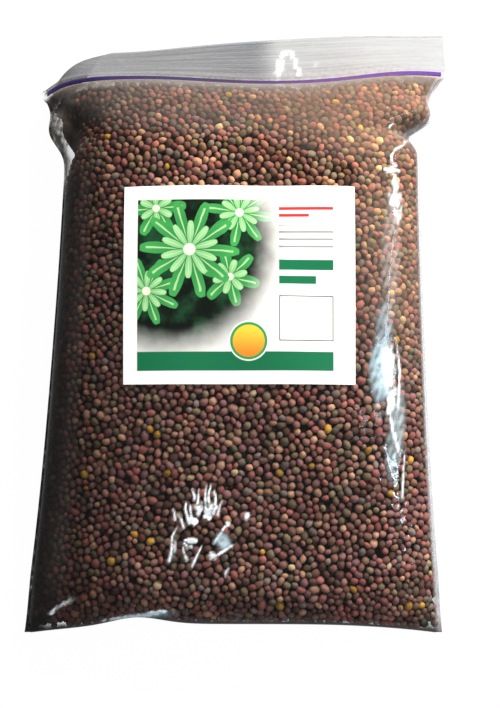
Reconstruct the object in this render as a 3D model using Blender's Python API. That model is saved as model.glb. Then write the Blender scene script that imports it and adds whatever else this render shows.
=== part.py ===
# A clear zip-seal bag packed with radish seeds, lying on its back, with a paper label on its front.
# Metres, +Z up. +X runs across the bag and +Y from its bottom fold to its zip. The origin is on the
# surface that the bag lies on, under the middle of the bag.
import math
import random

import bmesh
import bpy
import mathutils
import numpy as np

# The bag as it lies, filled
WIDTH = 0.1522  # over the side seals, where the bag is still flat
LENGTH = 0.2237  # from the bottom corners to the edge of the lips
LIP = 0.0172  # the film above the zip
SEAL = 0.0025  # each side seal, where both panels are welded together
FILM = 0.00035  # the wall, drawn thicker than the real 0.06 mm
PANEL_GAP = 0.00015  # half of the gap between the panels where they lie together
LIP_GAP = 0.0004  # the same between the lips, which lie loosely on each other
SEAM_TIP = 0.0004  # how far the inside runs on to a point between the panels

# The filled body. The film can't stretch, so it grows narrower as it grows thicker.
# A place or a spread along it is a share of the way from the fold to the zip, and one across it
# is a share of the way from the middle to the side seals.
WAIST = 0.0099  # how much narrower each half of the body is than the flat bag
NARROWING = 2.2  # a higher power narrows it sooner above the fold
SHOULDER = 0.87  # from here to the zip it widens again
SHOULDER_CURVE = 1.9
NECK_PLACE = 0.878  # where the right seam is tucked in
NECK_SPREAD = 0.017
RIGHT_NOTCH = 0.0045
EAR_PLACE = 0.924  # where the left seam stands out
EAR_SPREAD = 0.035
LEFT_EAR = 0.0062
LEAN = 0.0036  # how far the zip stands to the right of the fold
FRONT_RISE = 0.0212  # the front panel's height over the side seams
BACK_FALL = 0.0165  # what the back panel would sag below them, if no table stopped it
SEAM_HEIGHT = 0.0125
SEAM_DROP = 0.0050  # how much lower the seams run near the fold
SEAM_RAMP = 0.6  # they are at their full height from here on
FOLD_BLEND = 0.12  # the seams' height is the fold's own at the fold, and free of it from here on
ZIP_BLEND = 0.22  # the same, measured down from the zip
SLACK = 0.40  # the share of the thickness that is missing at the fold
SLACK_REACH = 0.7
LENS_POWER = 2.3  # the front panel's section near the fold is a lens
FULL_POWER = 3.0  # and fuller from the slack's reach on
BACK_POWER = 4.6  # the back panel's is nearly a box all along
LENS_REACH = 0.55  # up to here the section's edges are sharper
BOTTOM_ROUND = 0.016  # length of the rounded end at the fold
ZIP_SLOPE = 0.038  # length of the slope from the full body down to the zip

# The bottom fold and the zip line
CORNER_DROP = 0.0040  # how far the bottom corners stand out past the middle of the fold
PUCKER = 0.0026  # how far the fold is gathered in, left of its middle
PUCKER_PLACE = -0.46
PUCKER_SPREAD = 0.17
FOLD_HEIGHT = 0.0085
CORNER_HEIGHT = 0.0040
ZIP_HEIGHT = 0.0125
ZIP_END_HEIGHT = 0.0088  # of the zip's left end, which curls down
ZIP_END_PULL = 0.0045  # how far that end is drawn back towards the fold
ZIP_CURL = 0.7  # the curl starts this far to the left
ZIP_WAVE = 0.0010  # the zip line's slow wave
WAVE_HALF = 0.7  # from its crest to its trough
ZIP_BOW = 0.0018  # how much further it bows out near its right end
BOW_PLACE = 0.85
BOW_SPREAD = 0.3

# The lips above the zip, and their upper left corner, folded under along a slanting line
LEFT_DROOP = math.radians(38)
DROOP_START = 0.35  # it grows from here to the left, and ends at the folded corner
DROOP_END = 0.3
RIGHT_DROOP = math.radians(18)
FOLD_RADIUS = 0.0022
FOLD_TURN = math.radians(130)
FOLD_WAY = (-0.558, 0.830)  # the way across that line, out to the corner
FOLD_START = 0.0005  # from the zip's left end
LIP_REST = 0.0012  # the least height of the middle of the lips, where they touch the table

# The zip's two strips, as (along the bag, through the bag) in fractions of the unit below
ZIP_UNIT = 0.00075
ZIP_GAP = 0.00112  # half of the gap between the panels at the zip
ZIP_HOLD = 0.0013  # the panels keep that gap this far from the zip line
ZIP_TAPER = 0.002  # and the lips close over this much more
CHANNEL = [
    (-1.3, 1.1), (-1.3, -0.55), (-0.55, -0.55), (-0.55, -0.2), (-0.9, -0.2), (-0.9, 0.7),
    (0.9, 0.7), (0.9, -0.2), (0.55, -0.2), (0.55, -0.55), (1.3, -0.55), (1.3, 1.1),
]
RIB = [
    (-1.3, -0.75), (-1.3, -1.1), (1.3, -1.1), (1.3, -0.75), (0.3, -0.75), (0.3, 0.0),
    (0.7, 0.0), (0.7, 0.2), (0.0, 0.5), (-0.7, 0.2), (-0.7, 0.0), (-0.3, 0.0), (-0.3, -0.75),
]
ZIP_REACH = 0.985  # as a share of the way from the bag's middle to the side seal
ZIP_STATIONS = 27

# The seeds, raised from the filling as larger grains than the real 3 mm ones
GRAIN_STEP = 0.0042  # between neighbouring points of the net
GRAIN_DEPTH = 0.0016
SEED_CLEARANCE = 0.0009
SEED_GIRTH = 0.97  # round the filling, as a share of twice the bag's inner width
FILL_START = 0.0018  # from the fold
FILL_END = 0.0038  # from the zip
LEFT_PINCH = 0.0040  # how far the seeds stay clear of the left ear
PINCH_START = 0.03  # from the middle of the bag, and in full at twice that
PINCH_SPREAD = 0.035
THIN_SHARE = 0.45  # where the filling is thin, a grain sinks no further than this share of it
LEAST_SINK = 0.0002

# The paper label
LABEL_WIDTH = 0.0810
LABEL_HEIGHT = 0.0695
LABEL_THICK = 0.0003
LABEL_LIFT = 0.0003
LABEL_CENTRE = (0.0006, 0.0115)
LABEL_CELLS = (12, 10)

# The zip line's mean place, which puts the origin midway along the bag's box
ZIP_Y = LENGTH / 2 - LIP - ZIP_WAVE - ZIP_BOW / 2
PANEL_STATIONS = 25
FINE_STATIONS = 161  # for measuring along a panel
FINE_ROWS = 400
BODY_ROWS = [
    0.0, 0.003, 0.010, 0.020, 0.034, 0.052, 0.075, 0.11, 0.16, 0.22, 0.29, 0.37, 0.45, 0.53,
    0.61, 0.69, 0.75, 0.80, 0.84, 0.87, 0.893, 0.914, 0.935, 0.955, 0.972, 0.987,
]
LIP_ROWS = [-ZIP_HOLD, ZIP_HOLD, 0.0030, 0.0055, 0.0080, 0.0103, 0.0126, 0.0148, LIP]


def smooth(t):
    t = np.clip(t, 0.0, 1.0)
    return t * t * (3 - 2 * t)


def bell(x, centre, spread):
    return np.exp(-(((x - centre) / spread) ** 2))


def half_width(v, left):
    # From the middle to the outer edge of the side seal, at share v of the way from fold to zip
    narrowed = WAIST * (1 - (1 - np.clip(v, 0, 1)) ** NARROWING)
    widened = WAIST * np.clip((v - SHOULDER) / (1 - SHOULDER), 0, 1) ** SHOULDER_CURVE
    ear = LEFT_EAR * bell(v, EAR_PLACE, EAR_SPREAD)
    notch = -RIGHT_NOTCH * bell(v, NECK_PLACE, NECK_SPREAD)
    return WIDTH / 2 - narrowed + widened + np.where(left, ear, notch)


def lean(v):
    return LEAN * (v - 0.5)


def fold_y(u):
    # The bottom edge: corners standing out, and a shallow pucker left of the middle
    between = CORNER_DROP * (1 - np.abs(u) ** 3)
    return -LENGTH / 2 + between + PUCKER * bell(u, PUCKER_PLACE, PUCKER_SPREAD)


def curl(u):
    # From 0 at the start of the zip's curled left end to 1 at its tip
    return np.clip((-u - ZIP_CURL) / (1 - ZIP_CURL), 0, 1)


def zip_y(u):
    wave = ZIP_WAVE * np.cos((u - BOW_PLACE) / WAVE_HALF * np.pi)
    bow = ZIP_BOW * bell(u, BOW_PLACE, BOW_SPREAD)
    return ZIP_Y + wave + bow - ZIP_END_PULL * curl(u) ** 5


def zip_z(u):
    return ZIP_HEIGHT - (ZIP_HEIGHT - ZIP_END_HEIGHT) * smooth(curl(u))


def seam_z(u, v):
    # The height of the surface halfway between the two panels
    fold = FOLD_HEIGHT - (FOLD_HEIGHT - CORNER_HEIGHT) * np.abs(u) ** 3
    near_fold = 1 - smooth(v / FOLD_BLEND)
    near_zip = smooth((v - 1 + ZIP_BLEND) / ZIP_BLEND)
    seam = SEAM_HEIGHT - SEAM_DROP * (1 - smooth(v / SEAM_RAMP))
    return seam * (1 - near_fold - near_zip) + fold * near_fold + zip_z(u) * near_zip


def lip_droop(u):
    # How far the lips hang down from level
    left = LEFT_DROOP * smooth(DROOP_START - u) * smooth((u + 1) / DROOP_END)
    return float(left + RIGHT_DROOP * bell(u, BOW_PLACE, BOW_SPREAD))


def body_length(u):
    return zip_y(u) - fold_y(u)


def fullness(u, v):
    # 0 at the fold and the zip, where the panels meet, and 1 over most of the body
    from_fold = np.clip(v * body_length(u) / BOTTOM_ROUND, 0, 1)
    from_zip = np.clip((1 - v) * body_length(u) / ZIP_SLOPE, 0, 1)
    slack = 1 - SLACK * (1 - np.clip(v / SLACK_REACH, 0, 1)) ** 1.6
    # A quarter circle at the fold, and a longer curve down to the zip
    return np.sqrt(1 - (1 - from_fold) ** 2) * (1 - (1 - from_zip) ** 2) ** 0.75 * slack


def panel(u, v, side, offset):
    # A point of the body on the front panel (side 1) or the back one (side -1). Its inner face has
    # offset 0 and its outer face FILM. A negative offset lies inside the bag.
    reach = half_width(v, u < 0) - SEAL + offset
    from_fold = np.clip(v * body_length(u) / BOTTOM_ROUND, 0, 1)
    x = u * reach + lean(v)
    y = fold_y(u) + v * body_length(u) - offset * (1 - from_fold)
    rise, power = BACK_FALL, BACK_POWER
    if side > 0:
        rise = FRONT_RISE
        power = LENS_POWER + (FULL_POWER - LENS_POWER) * smooth(v / SLACK_REACH)
    # A power of a half stands the section's edges upright, and nearly one lays them down
    edge = 0.9 - 0.4 * smooth(v / LENS_REACH)
    dome = np.clip(1 - np.abs(u) ** power, 0, 1) ** edge * fullness(u, v)
    half = rise * dome + PANEL_GAP + (ZIP_GAP - PANEL_GAP) * smooth((v - 0.9) / 0.09)
    z = seam_z(u, v) + side * np.maximum(half + offset, 0.0001)
    if side < 0:
        z = np.maximum(z, FILM - offset)
    return np.array([x, y, z])


def fold_under(point, normal, through):
    # Carries a point of the lips round the folded corner, and moves it through them
    x, y, z = point
    across = (x + WIDTH / 2 - lean(1.0)) * FOLD_WAY[0] + (y - zip_y(-1.0)) * FOLD_WAY[1]
    beyond = max(across - FOLD_START, 0.0)
    turn = min(beyond / FOLD_RADIUS, FOLD_TURN)
    flat = beyond - turn * FOLD_RADIUS
    out = FOLD_RADIUS * math.sin(turn) + flat * math.cos(turn) - beyond
    down = FOLD_RADIUS * (1 - math.cos(turn)) + flat * math.sin(turn)
    way = np.array([FOLD_WAY[0], FOLD_WAY[1], 0])
    rise = normal[2]
    facing = float(normal @ way)
    turned = normal - facing * way - (0, 0, rise)
    turned = turned + way * (facing * math.cos(turn) + rise * math.sin(turn))
    turned[2] += rise * math.cos(turn) - facing * math.sin(turn)
    middle = np.array([x, y, max(z - down, LIP_REST)]) + way * out
    return middle + turned * through


def body_row(v):
    # One row of the body, as a function from a place across the bag to its point
    def place(u, side, offset, at_edge=False):
        point = panel(u, v, side, offset)
        if at_edge:
            point[0] = u * half_width(v, u < 0) + lean(v)
        return point
    return place


def lip_row(h):
    # The same for a row of the lips, h above the zip line
    def place(u, side, offset, at_edge=False):
        reach = half_width(1.0, u < 0) - (0 if at_edge else SEAL - offset)
        gap = ZIP_GAP + (LIP_GAP - ZIP_GAP) * float(smooth((h - ZIP_HOLD) / ZIP_TAPER))
        hanging = max(h - ZIP_HOLD, 0.0)
        droop = lip_droop(u) if hanging else 0.0
        x = u * reach + lean(1.0)
        y = float(zip_y(u)) + h - hanging * (1 - math.cos(droop))
        z = float(zip_z(u)) - hanging * math.sin(droop)
        normal = np.array([0, math.sin(droop), math.cos(droop)])
        return fold_under((x, y, z), normal, side * (gap + offset))
    return place


def panel_line(place, side, offset, sealed):
    # One panel's points at one row, from left to right
    across = [math.sin(t * math.pi / 2) for t in np.linspace(-1, 1, PANEL_STATIONS)]
    points = [place(u, side, offset) for u in across]
    if sealed:
        # Outside, the seal's edge is past them
        ends = [place(u, side, offset, at_edge=True) for u in (-1.0, 1.0)]
    else:
        # Inside, the two panels meet just past them
        meet = (SEAM_TIP, 0, side * PANEL_GAP / 2)
        ends = [points[0] - meet, points[-1] + np.multiply(meet, (1, 1, -1))]
    return [ends[0]] + points + [ends[1]]


def ring(bm, place, offset, sealed):
    front = panel_line(place, 1, offset, sealed)
    back = panel_line(place, -1, offset, sealed)
    return [bm.verts.new(p) for p in front + back[::-1]]


def skin_between(bm, lower, upper):
    count = len(lower)
    for i in range(count):
        j = (i + 1) % count
        bm.faces.new((lower[i], upper[i], upper[j], lower[j]))


def close_across(bm, loop):
    # Strips from the front half of a loop of points to its back half
    half = len(loop) // 2
    for i in range(half - 1):
        bm.faces.new((loop[i], loop[i + 1], loop[-2 - i], loop[-1 - i]))


def add_object(name, bm, material, smooth_angle=None):
    bmesh.ops.recalc_face_normals(bm, faces=bm.faces)
    mesh = bpy.data.meshes.new(name)
    bm.to_mesh(mesh)
    bm.free()
    if smooth_angle is not None:
        mesh.shade_smooth()
        mesh.set_sharp_from_angle(angle=math.radians(smooth_angle))
    mesh.materials.append(material)
    made = bpy.data.objects.new(name, mesh)
    bpy.context.scene.collection.objects.link(made)
    return made


def make_material(name, colour, roughness, alpha=1.0):
    material = bpy.data.materials.new(name)
    material.use_nodes = True
    shader = material.node_tree.nodes["Principled BSDF"]
    shader.inputs["Base Color"].default_value = (*colour, 1)
    shader.inputs["Roughness"].default_value = roughness
    shader.inputs["Metallic"].default_value = 0.0
    shader.inputs["Alpha"].default_value = alpha
    material.diffuse_color = (*colour, alpha)
    return material


def make_film(material):
    # One sleeve of film, folded at the bottom, welded at both sides and open between its lips
    bm = bmesh.new()
    rows = [body_row(v) for v in BODY_ROWS] + [lip_row(h) for h in LIP_ROWS]
    outside = [ring(bm, place, FILM, True) for place in rows]
    inside = [ring(bm, place, 0.0, False) for place in rows[1:]]
    for skins in (outside, inside):
        for lower, upper in zip(skins, skins[1:]):
            skin_between(bm, lower, upper)
        close_across(bm, skins[0])
    skin_between(bm, outside[-1], inside[-1])
    return add_object("bag_film", bm, material, 40)


def make_zip_strip(name, profile, material):
    # One strip of the zip, its profile carried along the zip line from seal to seal
    bm = bmesh.new()
    sections = []
    for u in np.linspace(-ZIP_REACH, ZIP_REACH, ZIP_STATIONS):
        reach = half_width(1.0, u < 0) - SEAL
        x, y, z = u * reach + lean(1.0), float(zip_y(u)), float(zip_z(u))
        sections.append([
            bm.verts.new((x, y + along * ZIP_UNIT, z + through * ZIP_UNIT))
            for along, through in profile
        ])
    for first, second in zip(sections, sections[1:]):
        skin_between(bm, first, second)
    bm.faces.new(sections[0])
    bm.faces.new(sections[-1])
    return add_object(name, bm, material)


def filling_loop(v, count, turn):
    # Points spaced evenly round the filling's section, each with the way in towards its middle
    along = np.sin(np.linspace(-1, 1, FINE_STATIONS) * math.pi / 2)
    front = np.array([panel(u, v, 1, -SEED_CLEARANCE) for u in along])
    back = np.array([panel(u, v, -1, -SEED_CLEARANCE) for u in along[::-1]])
    section = np.vstack([front, back[1:-1], front[:1]])
    left = smooth((-section[:, 0] - PINCH_START) / PINCH_START)
    section[:, 0] += LEFT_PINCH * bell(v, NECK_PLACE, PINCH_SPREAD) * left
    steps = np.linalg.norm(np.diff(section, axis=0), axis=1)
    walked = np.concatenate([[0], np.cumsum(steps)])
    wanted = (np.arange(count) + turn) / count * walked[-1]
    points = np.array([np.interp(wanted, walked, section[:, k]) for k in range(3)]).T
    ahead = np.roll(points, -1, axis=0) - np.roll(points, 1, axis=0)
    inward = np.stack([ahead[:, 2], 0 * ahead[:, 2], -ahead[:, 0]], axis=1)
    return points, inward / np.linalg.norm(inward, axis=1)[:, None]


def filling_rows(row_step):
    # The rows of the net, spaced evenly over the rounded end and along the front
    length = float(body_length(0.0))
    shares = np.linspace(FILL_START, length - FILL_END, FINE_ROWS) / length
    profile = np.array([panel(0.0, v, 1, -SEED_CLEARANCE) for v in shares])
    walked = np.concatenate([[0], np.cumsum(np.linalg.norm(np.diff(profile, axis=0), axis=1))])
    wanted = np.linspace(0, walked[-1], round(walked[-1] / row_step) + 1)
    return np.interp(wanted, walked, shares)


def make_seeds(material):
    # A net of triangles round the filling. Every third point is the top of a grain, and the six
    # round it lie low, so each grain is a six-sided bead.
    draw = random.Random(7)
    count = 6 * round(2 * (WIDTH - 2 * SEAL) * SEED_GIRTH / GRAIN_STEP / 6)
    bm = bmesh.new()
    rows = []
    for r, v in enumerate(filling_rows(GRAIN_STEP * math.sqrt(3) / 2)):
        points, inward = filling_loop(v, count, 0.5 * (r % 2))
        row = []
        for i in range(count):
            top = (i - r // 2 - r) % 3 == 0
            sink = GRAIN_DEPTH * (draw.uniform(0.0, 0.35) if top else draw.uniform(0.85, 1.0))
            across = (points[i][0] - lean(v)) / (WIDTH / 2)
            room = THIN_SHARE * abs(points[i][2] - seam_z(across, v))
            row.append(bm.verts.new(points[i] + inward[i] * min(sink, max(room, LEAST_SINK))))
        rows.append(row)
    for r, (lower, upper) in enumerate(zip(rows, rows[1:])):
        for i in range(count):
            j = (i + 1) % count
            if r % 2 == 0:
                bm.faces.new((lower[i], upper[i], lower[j]))
                bm.faces.new((lower[j], upper[i], upper[j]))
            else:
                bm.faces.new((lower[i], upper[i], upper[j]))
                bm.faces.new((lower[i], upper[j], lower[j]))
    close_across(bm, rows[0])
    close_across(bm, rows[-1])
    return add_object("seeds", bm, material)


def front_at(x, y, offset):
    # The front panel's height over a point of the plan. Each round brings its u and v closer.
    v = (y - fold_y(0.0)) / body_length(0.0)
    for _ in range(4):
        u = (x - lean(v)) / (half_width(v, x < 0) - SEAL + offset)
        v = (y - fold_y(u)) / body_length(u)
    return panel(u, v, 1, offset)[2]


def make_label(material):
    # A sheet of paper that follows the front panel
    bm = bmesh.new()
    bmesh.ops.create_grid(bm, x_segments=LABEL_CELLS[0], y_segments=LABEL_CELLS[1], size=0.5)
    size = mathutils.Matrix.Diagonal((LABEL_WIDTH, LABEL_HEIGHT, 1, 1))
    place = mathutils.Matrix.Translation((*LABEL_CENTRE, 0))
    bmesh.ops.transform(bm, matrix=place @ size, verts=bm.verts)
    sheet = bm.faces[:]
    thickened = bmesh.ops.extrude_face_region(bm, geom=sheet, use_keep_orig=True)["geom"]
    upper = {item for item in thickened if isinstance(item, bmesh.types.BMVert)}
    for vert in bm.verts:
        lift = LABEL_LIFT + (LABEL_THICK if vert in upper else 0)
        vert.co.z = front_at(vert.co.x, vert.co.y, FILM) + lift
    return add_object("label", bm, material, 40)


def main():
    for old in list(bpy.data.objects):
        bpy.data.objects.remove(old)
    make_film(make_material("clear_film", (0.92, 0.94, 0.96), 0.08, 0.3))
    make_zip_strip("zip_channel", CHANNEL, make_material("violet_channel", (0.16, 0.045, 0.42), 0.35))
    make_zip_strip("zip_rib", RIB, make_material("violet_rib", (0.13, 0.04, 0.36), 0.35))
    make_seeds(make_material("radish_seed", (0.13, 0.065, 0.042), 0.6))
    make_label(make_material("label_paper", (0.93, 0.93, 0.92), 0.55))


main()
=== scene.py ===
import math

import bpy
import numpy as np
from mathutils import Matrix, Vector, kdtree


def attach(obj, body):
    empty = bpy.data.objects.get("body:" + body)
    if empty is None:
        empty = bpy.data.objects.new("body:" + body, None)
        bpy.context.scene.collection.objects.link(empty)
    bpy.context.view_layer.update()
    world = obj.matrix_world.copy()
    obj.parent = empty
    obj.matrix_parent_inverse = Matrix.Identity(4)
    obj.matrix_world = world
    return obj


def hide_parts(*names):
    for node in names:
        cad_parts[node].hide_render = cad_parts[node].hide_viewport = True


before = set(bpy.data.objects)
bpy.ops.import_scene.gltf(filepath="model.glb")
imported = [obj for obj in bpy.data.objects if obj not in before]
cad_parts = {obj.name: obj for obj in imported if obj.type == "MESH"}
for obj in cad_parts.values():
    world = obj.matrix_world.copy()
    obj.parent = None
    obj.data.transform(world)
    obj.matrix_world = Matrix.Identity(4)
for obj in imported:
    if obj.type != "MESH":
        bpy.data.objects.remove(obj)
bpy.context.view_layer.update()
print("frame loaded")

# The bag as it lies, in metres. A place along it is a share of the way from the fold to the zip, and a
# place across it a share of the way from the middle to a side seal.
bag = {
    "width": 0.1522,  # over the side seals, where it is still flat
    "length": 0.2237,  # from the bottom corners to the edge of the lips
    "lip": 0.0172,  # the film above the zip
    "seal": 0.0009,
    "sealShare": 1.02,  # the place across of the seal's outer edge
    "waist": 0.0099,  # how much narrower each half of the filled body is than the flat bag
    "narrowing": 2.2,
    "shoulder": 0.87,  # from here to the zip it widens again
    "shoulderCurve": 1.9,
    "leftEar": (0.0048, 0.924, 0.038),  # how far a seam stands out, at which place, over what spread
    "rightShoulder": (0.0034, 0.918, 0.022),
    "rightNeck": (-0.0045, 0.878, 0.017),
    "lean": 0.0036,  # how far the zip stands to the right of the fold
    "frontRise": 0.0212,  # of the front over the seams
    "backFall": 0.0165,  # of the back below them, if no table stopped it
    "seamHeight": 0.0125,
    "seamDrop": 0.0050,  # how much lower the seams run near the fold
    "seamRamp": 0.6,
    "foldBlend": 0.12,  # over these shares the seams come to the fold's height and to the zip's
    "zipBlend": 0.22,
    "slack": 0.40,  # the share of the thickness that is missing at the fold
    "slackReach": 0.7,
    "slackCurve": 1.6,
    "slopeCurve": 0.75,
    "frontPowers": (2.3, 3.0),  # the front's section is a lens near the fold, and fuller further up
    "backPower": 4.6,
    "edgePowers": (0.58, 0.46),  # the lower, the rounder the section's edges
    "edgeReach": 0.55,
    "lump": 0.0005,  # unevenness of the front
    "lumpWaves": (95, 70, 150, 60),
    "parting": (0.9, 0.09),  # where the panels start to part for the zip, and over what reach
    "leastHalf": 0.00003,  # of the space between the panels
    "bottomRound": 0.016,  # length of the rounded end at the fold
    "zipSlope": 0.038,  # length of the slope down to the zip
    "cornerDrop": 0.0040,  # how far the bottom corners stand out past the middle of the fold
    "pucker": (0.0026, -0.46, 0.17),  # how far the fold is gathered in, left of its middle
    "foldHeight": 0.0085,
    "cornerHeight": 0.0040,
    "zipHeight": 0.0125,
    "zipEndHeight": 0.0088,  # of the zip's left end, which curls down
    "zipEndPull": 0.0045,  # how far that end is drawn back towards the fold
    "zipCurl": 0.7,
    "zipWave": 0.0010,
    "waveHalf": 0.7,
    "zipBow": 0.0018,  # how much further the zip bows out near its right end
    "bowPlace": 0.85,
    "bowSpread": 0.3,
    "leftDroop": math.radians(38),
    "rightDroop": math.radians(18),
    "droopStart": 0.35,
    "droopEnd": 0.3,
    "foldRadius": 0.0022,  # of the lips' upper left corner, folded under along a slanting line
    "foldTurn": math.radians(130),
    "foldWay": (-0.558, 0.830),  # the way across that line, out to the corner
    "foldBulge": 0.0024,
    "foldMiddle": 0.019,
    "foldBends": (20.0, 8.0),  # how fast the line falls back below its middle and above it
    "foldLimits": (-0.0003, -0.014),
    "lipRest": 0.0012,  # the least height of the middle of the lips
    "zipHold": 0.0013,  # the panels keep the zip's gap this far from it, and close over the taper
    "zipTaper": 0.002,
    "table": 0.00035,
}
bag["zipY"] = bag["length"] / 2 - bag["lip"] - bag["zipWave"] - bag["zipBow"] / 2
bag["sealScale"] = bag["seal"] / (bag["sealShare"] - 1)


def smooth(t):
    t = np.clip(t, 0.0, 1.0)
    return t * t * (3 - 2 * t)


def ramp(x, start, reach):  # from 0 at start to 1 past its reach
    return smooth((x - start) / reach)


def bell(x, centre, spread):
    return np.exp(-(((x - centre) / spread) ** 2))


def hump(x, height, place, spread):
    return height * bell(x, place, spread)


def between(low, high, share):
    return low + (high - low) * share


def halfWidth(v, left):
    narrowed = bag["waist"] * (1 - (1 - np.clip(v, 0, 1)) ** bag["narrowing"])
    above = np.clip((v - bag["shoulder"]) / (1 - bag["shoulder"]), 0, 1)
    widened = bag["waist"] * above ** bag["shoulderCurve"]
    right = hump(v, *bag["rightShoulder"]) + hump(v, *bag["rightNeck"])
    return bag["width"] / 2 - narrowed + widened + np.where(left, hump(v, *bag["leftEar"]), right)


def openHalf(v, left):  # half the width between the seals
    return halfWidth(v, left) - bag["seal"]


def lean(v):
    return bag["lean"] * (v - 0.5)


def foldY(u):  # the bottom edge, puckered left of its middle
    bow = bag["cornerDrop"] * (1 - np.abs(u) ** 3)
    return -bag["length"] / 2 + bow + hump(u, *bag["pucker"])


def zipCurl(u):
    return np.clip((-u - bag["zipCurl"]) / (1 - bag["zipCurl"]), 0, 1)


def zipY(u):
    wave = bag["zipWave"] * np.cos((u - bag["bowPlace"]) / bag["waveHalf"] * np.pi)
    bow = bag["zipBow"] * bell(u, bag["bowPlace"], bag["bowSpread"])
    return bag["zipY"] + wave + bow - bag["zipEndPull"] * zipCurl(u) ** 5


def zipZ(u):
    return between(bag["zipHeight"], bag["zipEndHeight"], smooth(zipCurl(u)))


def bodyLength(u):
    return zipY(u) - foldY(u)


def seamZ(u, v):  # height of the surface halfway between the panels
    fold = between(bag["foldHeight"], bag["cornerHeight"], np.abs(u) ** 3)
    nearFold = 1 - smooth(v / bag["foldBlend"])
    nearZip = smooth((v - 1 + bag["zipBlend"]) / bag["zipBlend"])
    seam = bag["seamHeight"] - bag["seamDrop"] * (1 - smooth(v / bag["seamRamp"]))
    return seam * (1 - nearFold - nearZip) + fold * nearFold + zipZ(u) * nearZip


def fullness(u, v):
    fromFold = np.clip(v * bodyLength(u) / bag["bottomRound"], 0, 1)
    fromZip = np.clip((1 - v) * bodyLength(u) / bag["zipSlope"], 0, 1)
    slack = 1 - bag["slack"] * (1 - np.clip(v / bag["slackReach"], 0, 1)) ** bag["slackCurve"]
    return np.sqrt(1 - (1 - fromFold) ** 2) * (1 - (1 - fromZip) ** 2) ** bag["slopeCurve"] * slack


def unevenness(x, y):
    across, along, slantX, slantY = bag["lumpWaves"]
    crossing = np.sin(across * x + 1.0) * np.sin(along * y + 2.0)
    return bag["lump"] * (crossing + 0.7 * np.sin(slantX * x + slantY * y))


def panelPoint(u, v, side, offset, gap=0.0):
    # side 1 is the front panel and -1 the back one, offset the way out of the bag, gap half the zip's
    reach = openHalf(v, u < 0) + np.minimum(offset, 0.0)
    fromFold = np.clip(v * bodyLength(u) / bag["bottomRound"], 0, 1)
    inside = np.clip(u, -1, 1)
    x = inside * reach + (u - inside) * bag["sealScale"] + lean(v)
    y = foldY(inside) + v * bodyLength(inside) - offset * (1 - fromFold)
    rise, power = bag["backFall"], bag["backPower"]
    if side > 0:
        rise = bag["frontRise"]
        power = between(*bag["frontPowers"], smooth(v / bag["slackReach"]))
    edge = between(*bag["edgePowers"], smooth(v / bag["edgeReach"]))
    dome = np.clip(1 - np.abs(inside) ** power, 0, 1) ** edge * fullness(inside, v)
    opened = gap * ramp(v, *bag["parting"])
    half = rise * dome + unevenness(x, y) * dome * (side > 0) + opened
    z = seamZ(inside, v) + side * np.maximum(half + offset, bag["leastHalf"])
    if side < 0:
        z = np.maximum(z, bag["table"] - offset)
    return np.stack(np.broadcast_arrays(x, y, z), axis=-1)


def sharesAt(x, y):  # the places across and along the bag of points in the plan
    v = (y - foldY(0.0)) / bodyLength(0.0)
    for _ in range(4):  # each round comes closer
        u = (x - lean(v)) / openHalf(v, x < 0)
        v = (y - foldY(u)) / bodyLength(u)
    return u, v


def foldUnder(point, normal, through):
    # carries points of the lips round their folded upper left corner
    way = np.array([*bag["foldWay"], 0.0])
    x, y, z = np.moveaxis(point, -1, 0)
    fromEdge, fromZip = x + bag["width"] / 2 - lean(1.0), y - zipY(-1.0)
    across = fromEdge * way[0] + fromZip * way[1]
    along = fromEdge * way[1] - fromZip * way[0]
    lower = along < bag["foldMiddle"]
    bulge = bag["foldBulge"] - np.where(lower, *bag["foldBends"]) * (along - bag["foldMiddle"]) ** 2
    bulge = np.maximum(bulge, np.where(lower, *bag["foldLimits"]))
    beyond = np.maximum(across - bulge, 0.0)
    turn = np.minimum(beyond / bag["foldRadius"], bag["foldTurn"])
    flat = beyond - turn * bag["foldRadius"]
    out = bag["foldRadius"] * np.sin(turn) + flat * np.cos(turn) - beyond
    down = bag["foldRadius"] * (1 - np.cos(turn)) + flat * np.sin(turn)
    rise = normal[..., 2]
    facing = normal @ way
    turned = normal - facing[..., None] * way
    turned[..., 2] = 0
    turned = turned + (facing * np.cos(turn) + rise * np.sin(turn))[..., None] * way
    turned[..., 2] += rise * np.cos(turn) - facing * np.sin(turn)
    middle = np.stack([x, y, np.maximum(z - down, bag["lipRest"])], axis=-1) + out[..., None] * way
    return middle + turned * through[..., None]


def lipPoint(u, h, side, offset, gap, lipGap):
    # h above the zip line. The lips droop, and close together past the zip.
    inside = np.clip(u, -1, 1)
    half = between(gap, lipGap, ramp(h, bag["zipHold"], bag["zipTaper"]))
    hanging = np.maximum(h - bag["zipHold"], 0.0)
    left = bag["leftDroop"] * smooth(bag["droopStart"] - inside) * smooth((inside + 1) / bag["droopEnd"])
    droop = (left + bag["rightDroop"] * bell(inside, bag["bowPlace"], bag["bowSpread"])) * (hanging > 0)
    x = inside * openHalf(1.0, u < 0) + (u - inside) * bag["sealScale"] + lean(1.0)
    y = zipY(inside) + h - hanging * (1 - np.cos(droop))
    z = zipZ(inside) - hanging * np.sin(droop)
    x, y, z, droop = np.broadcast_arrays(x, y, z, droop)
    normal = np.stack([0 * droop, np.sin(droop), np.cos(droop)], axis=-1)
    return foldUnder(np.stack([x, y, z], axis=-1), normal, side * (half + offset) + 0 * droop)


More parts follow.
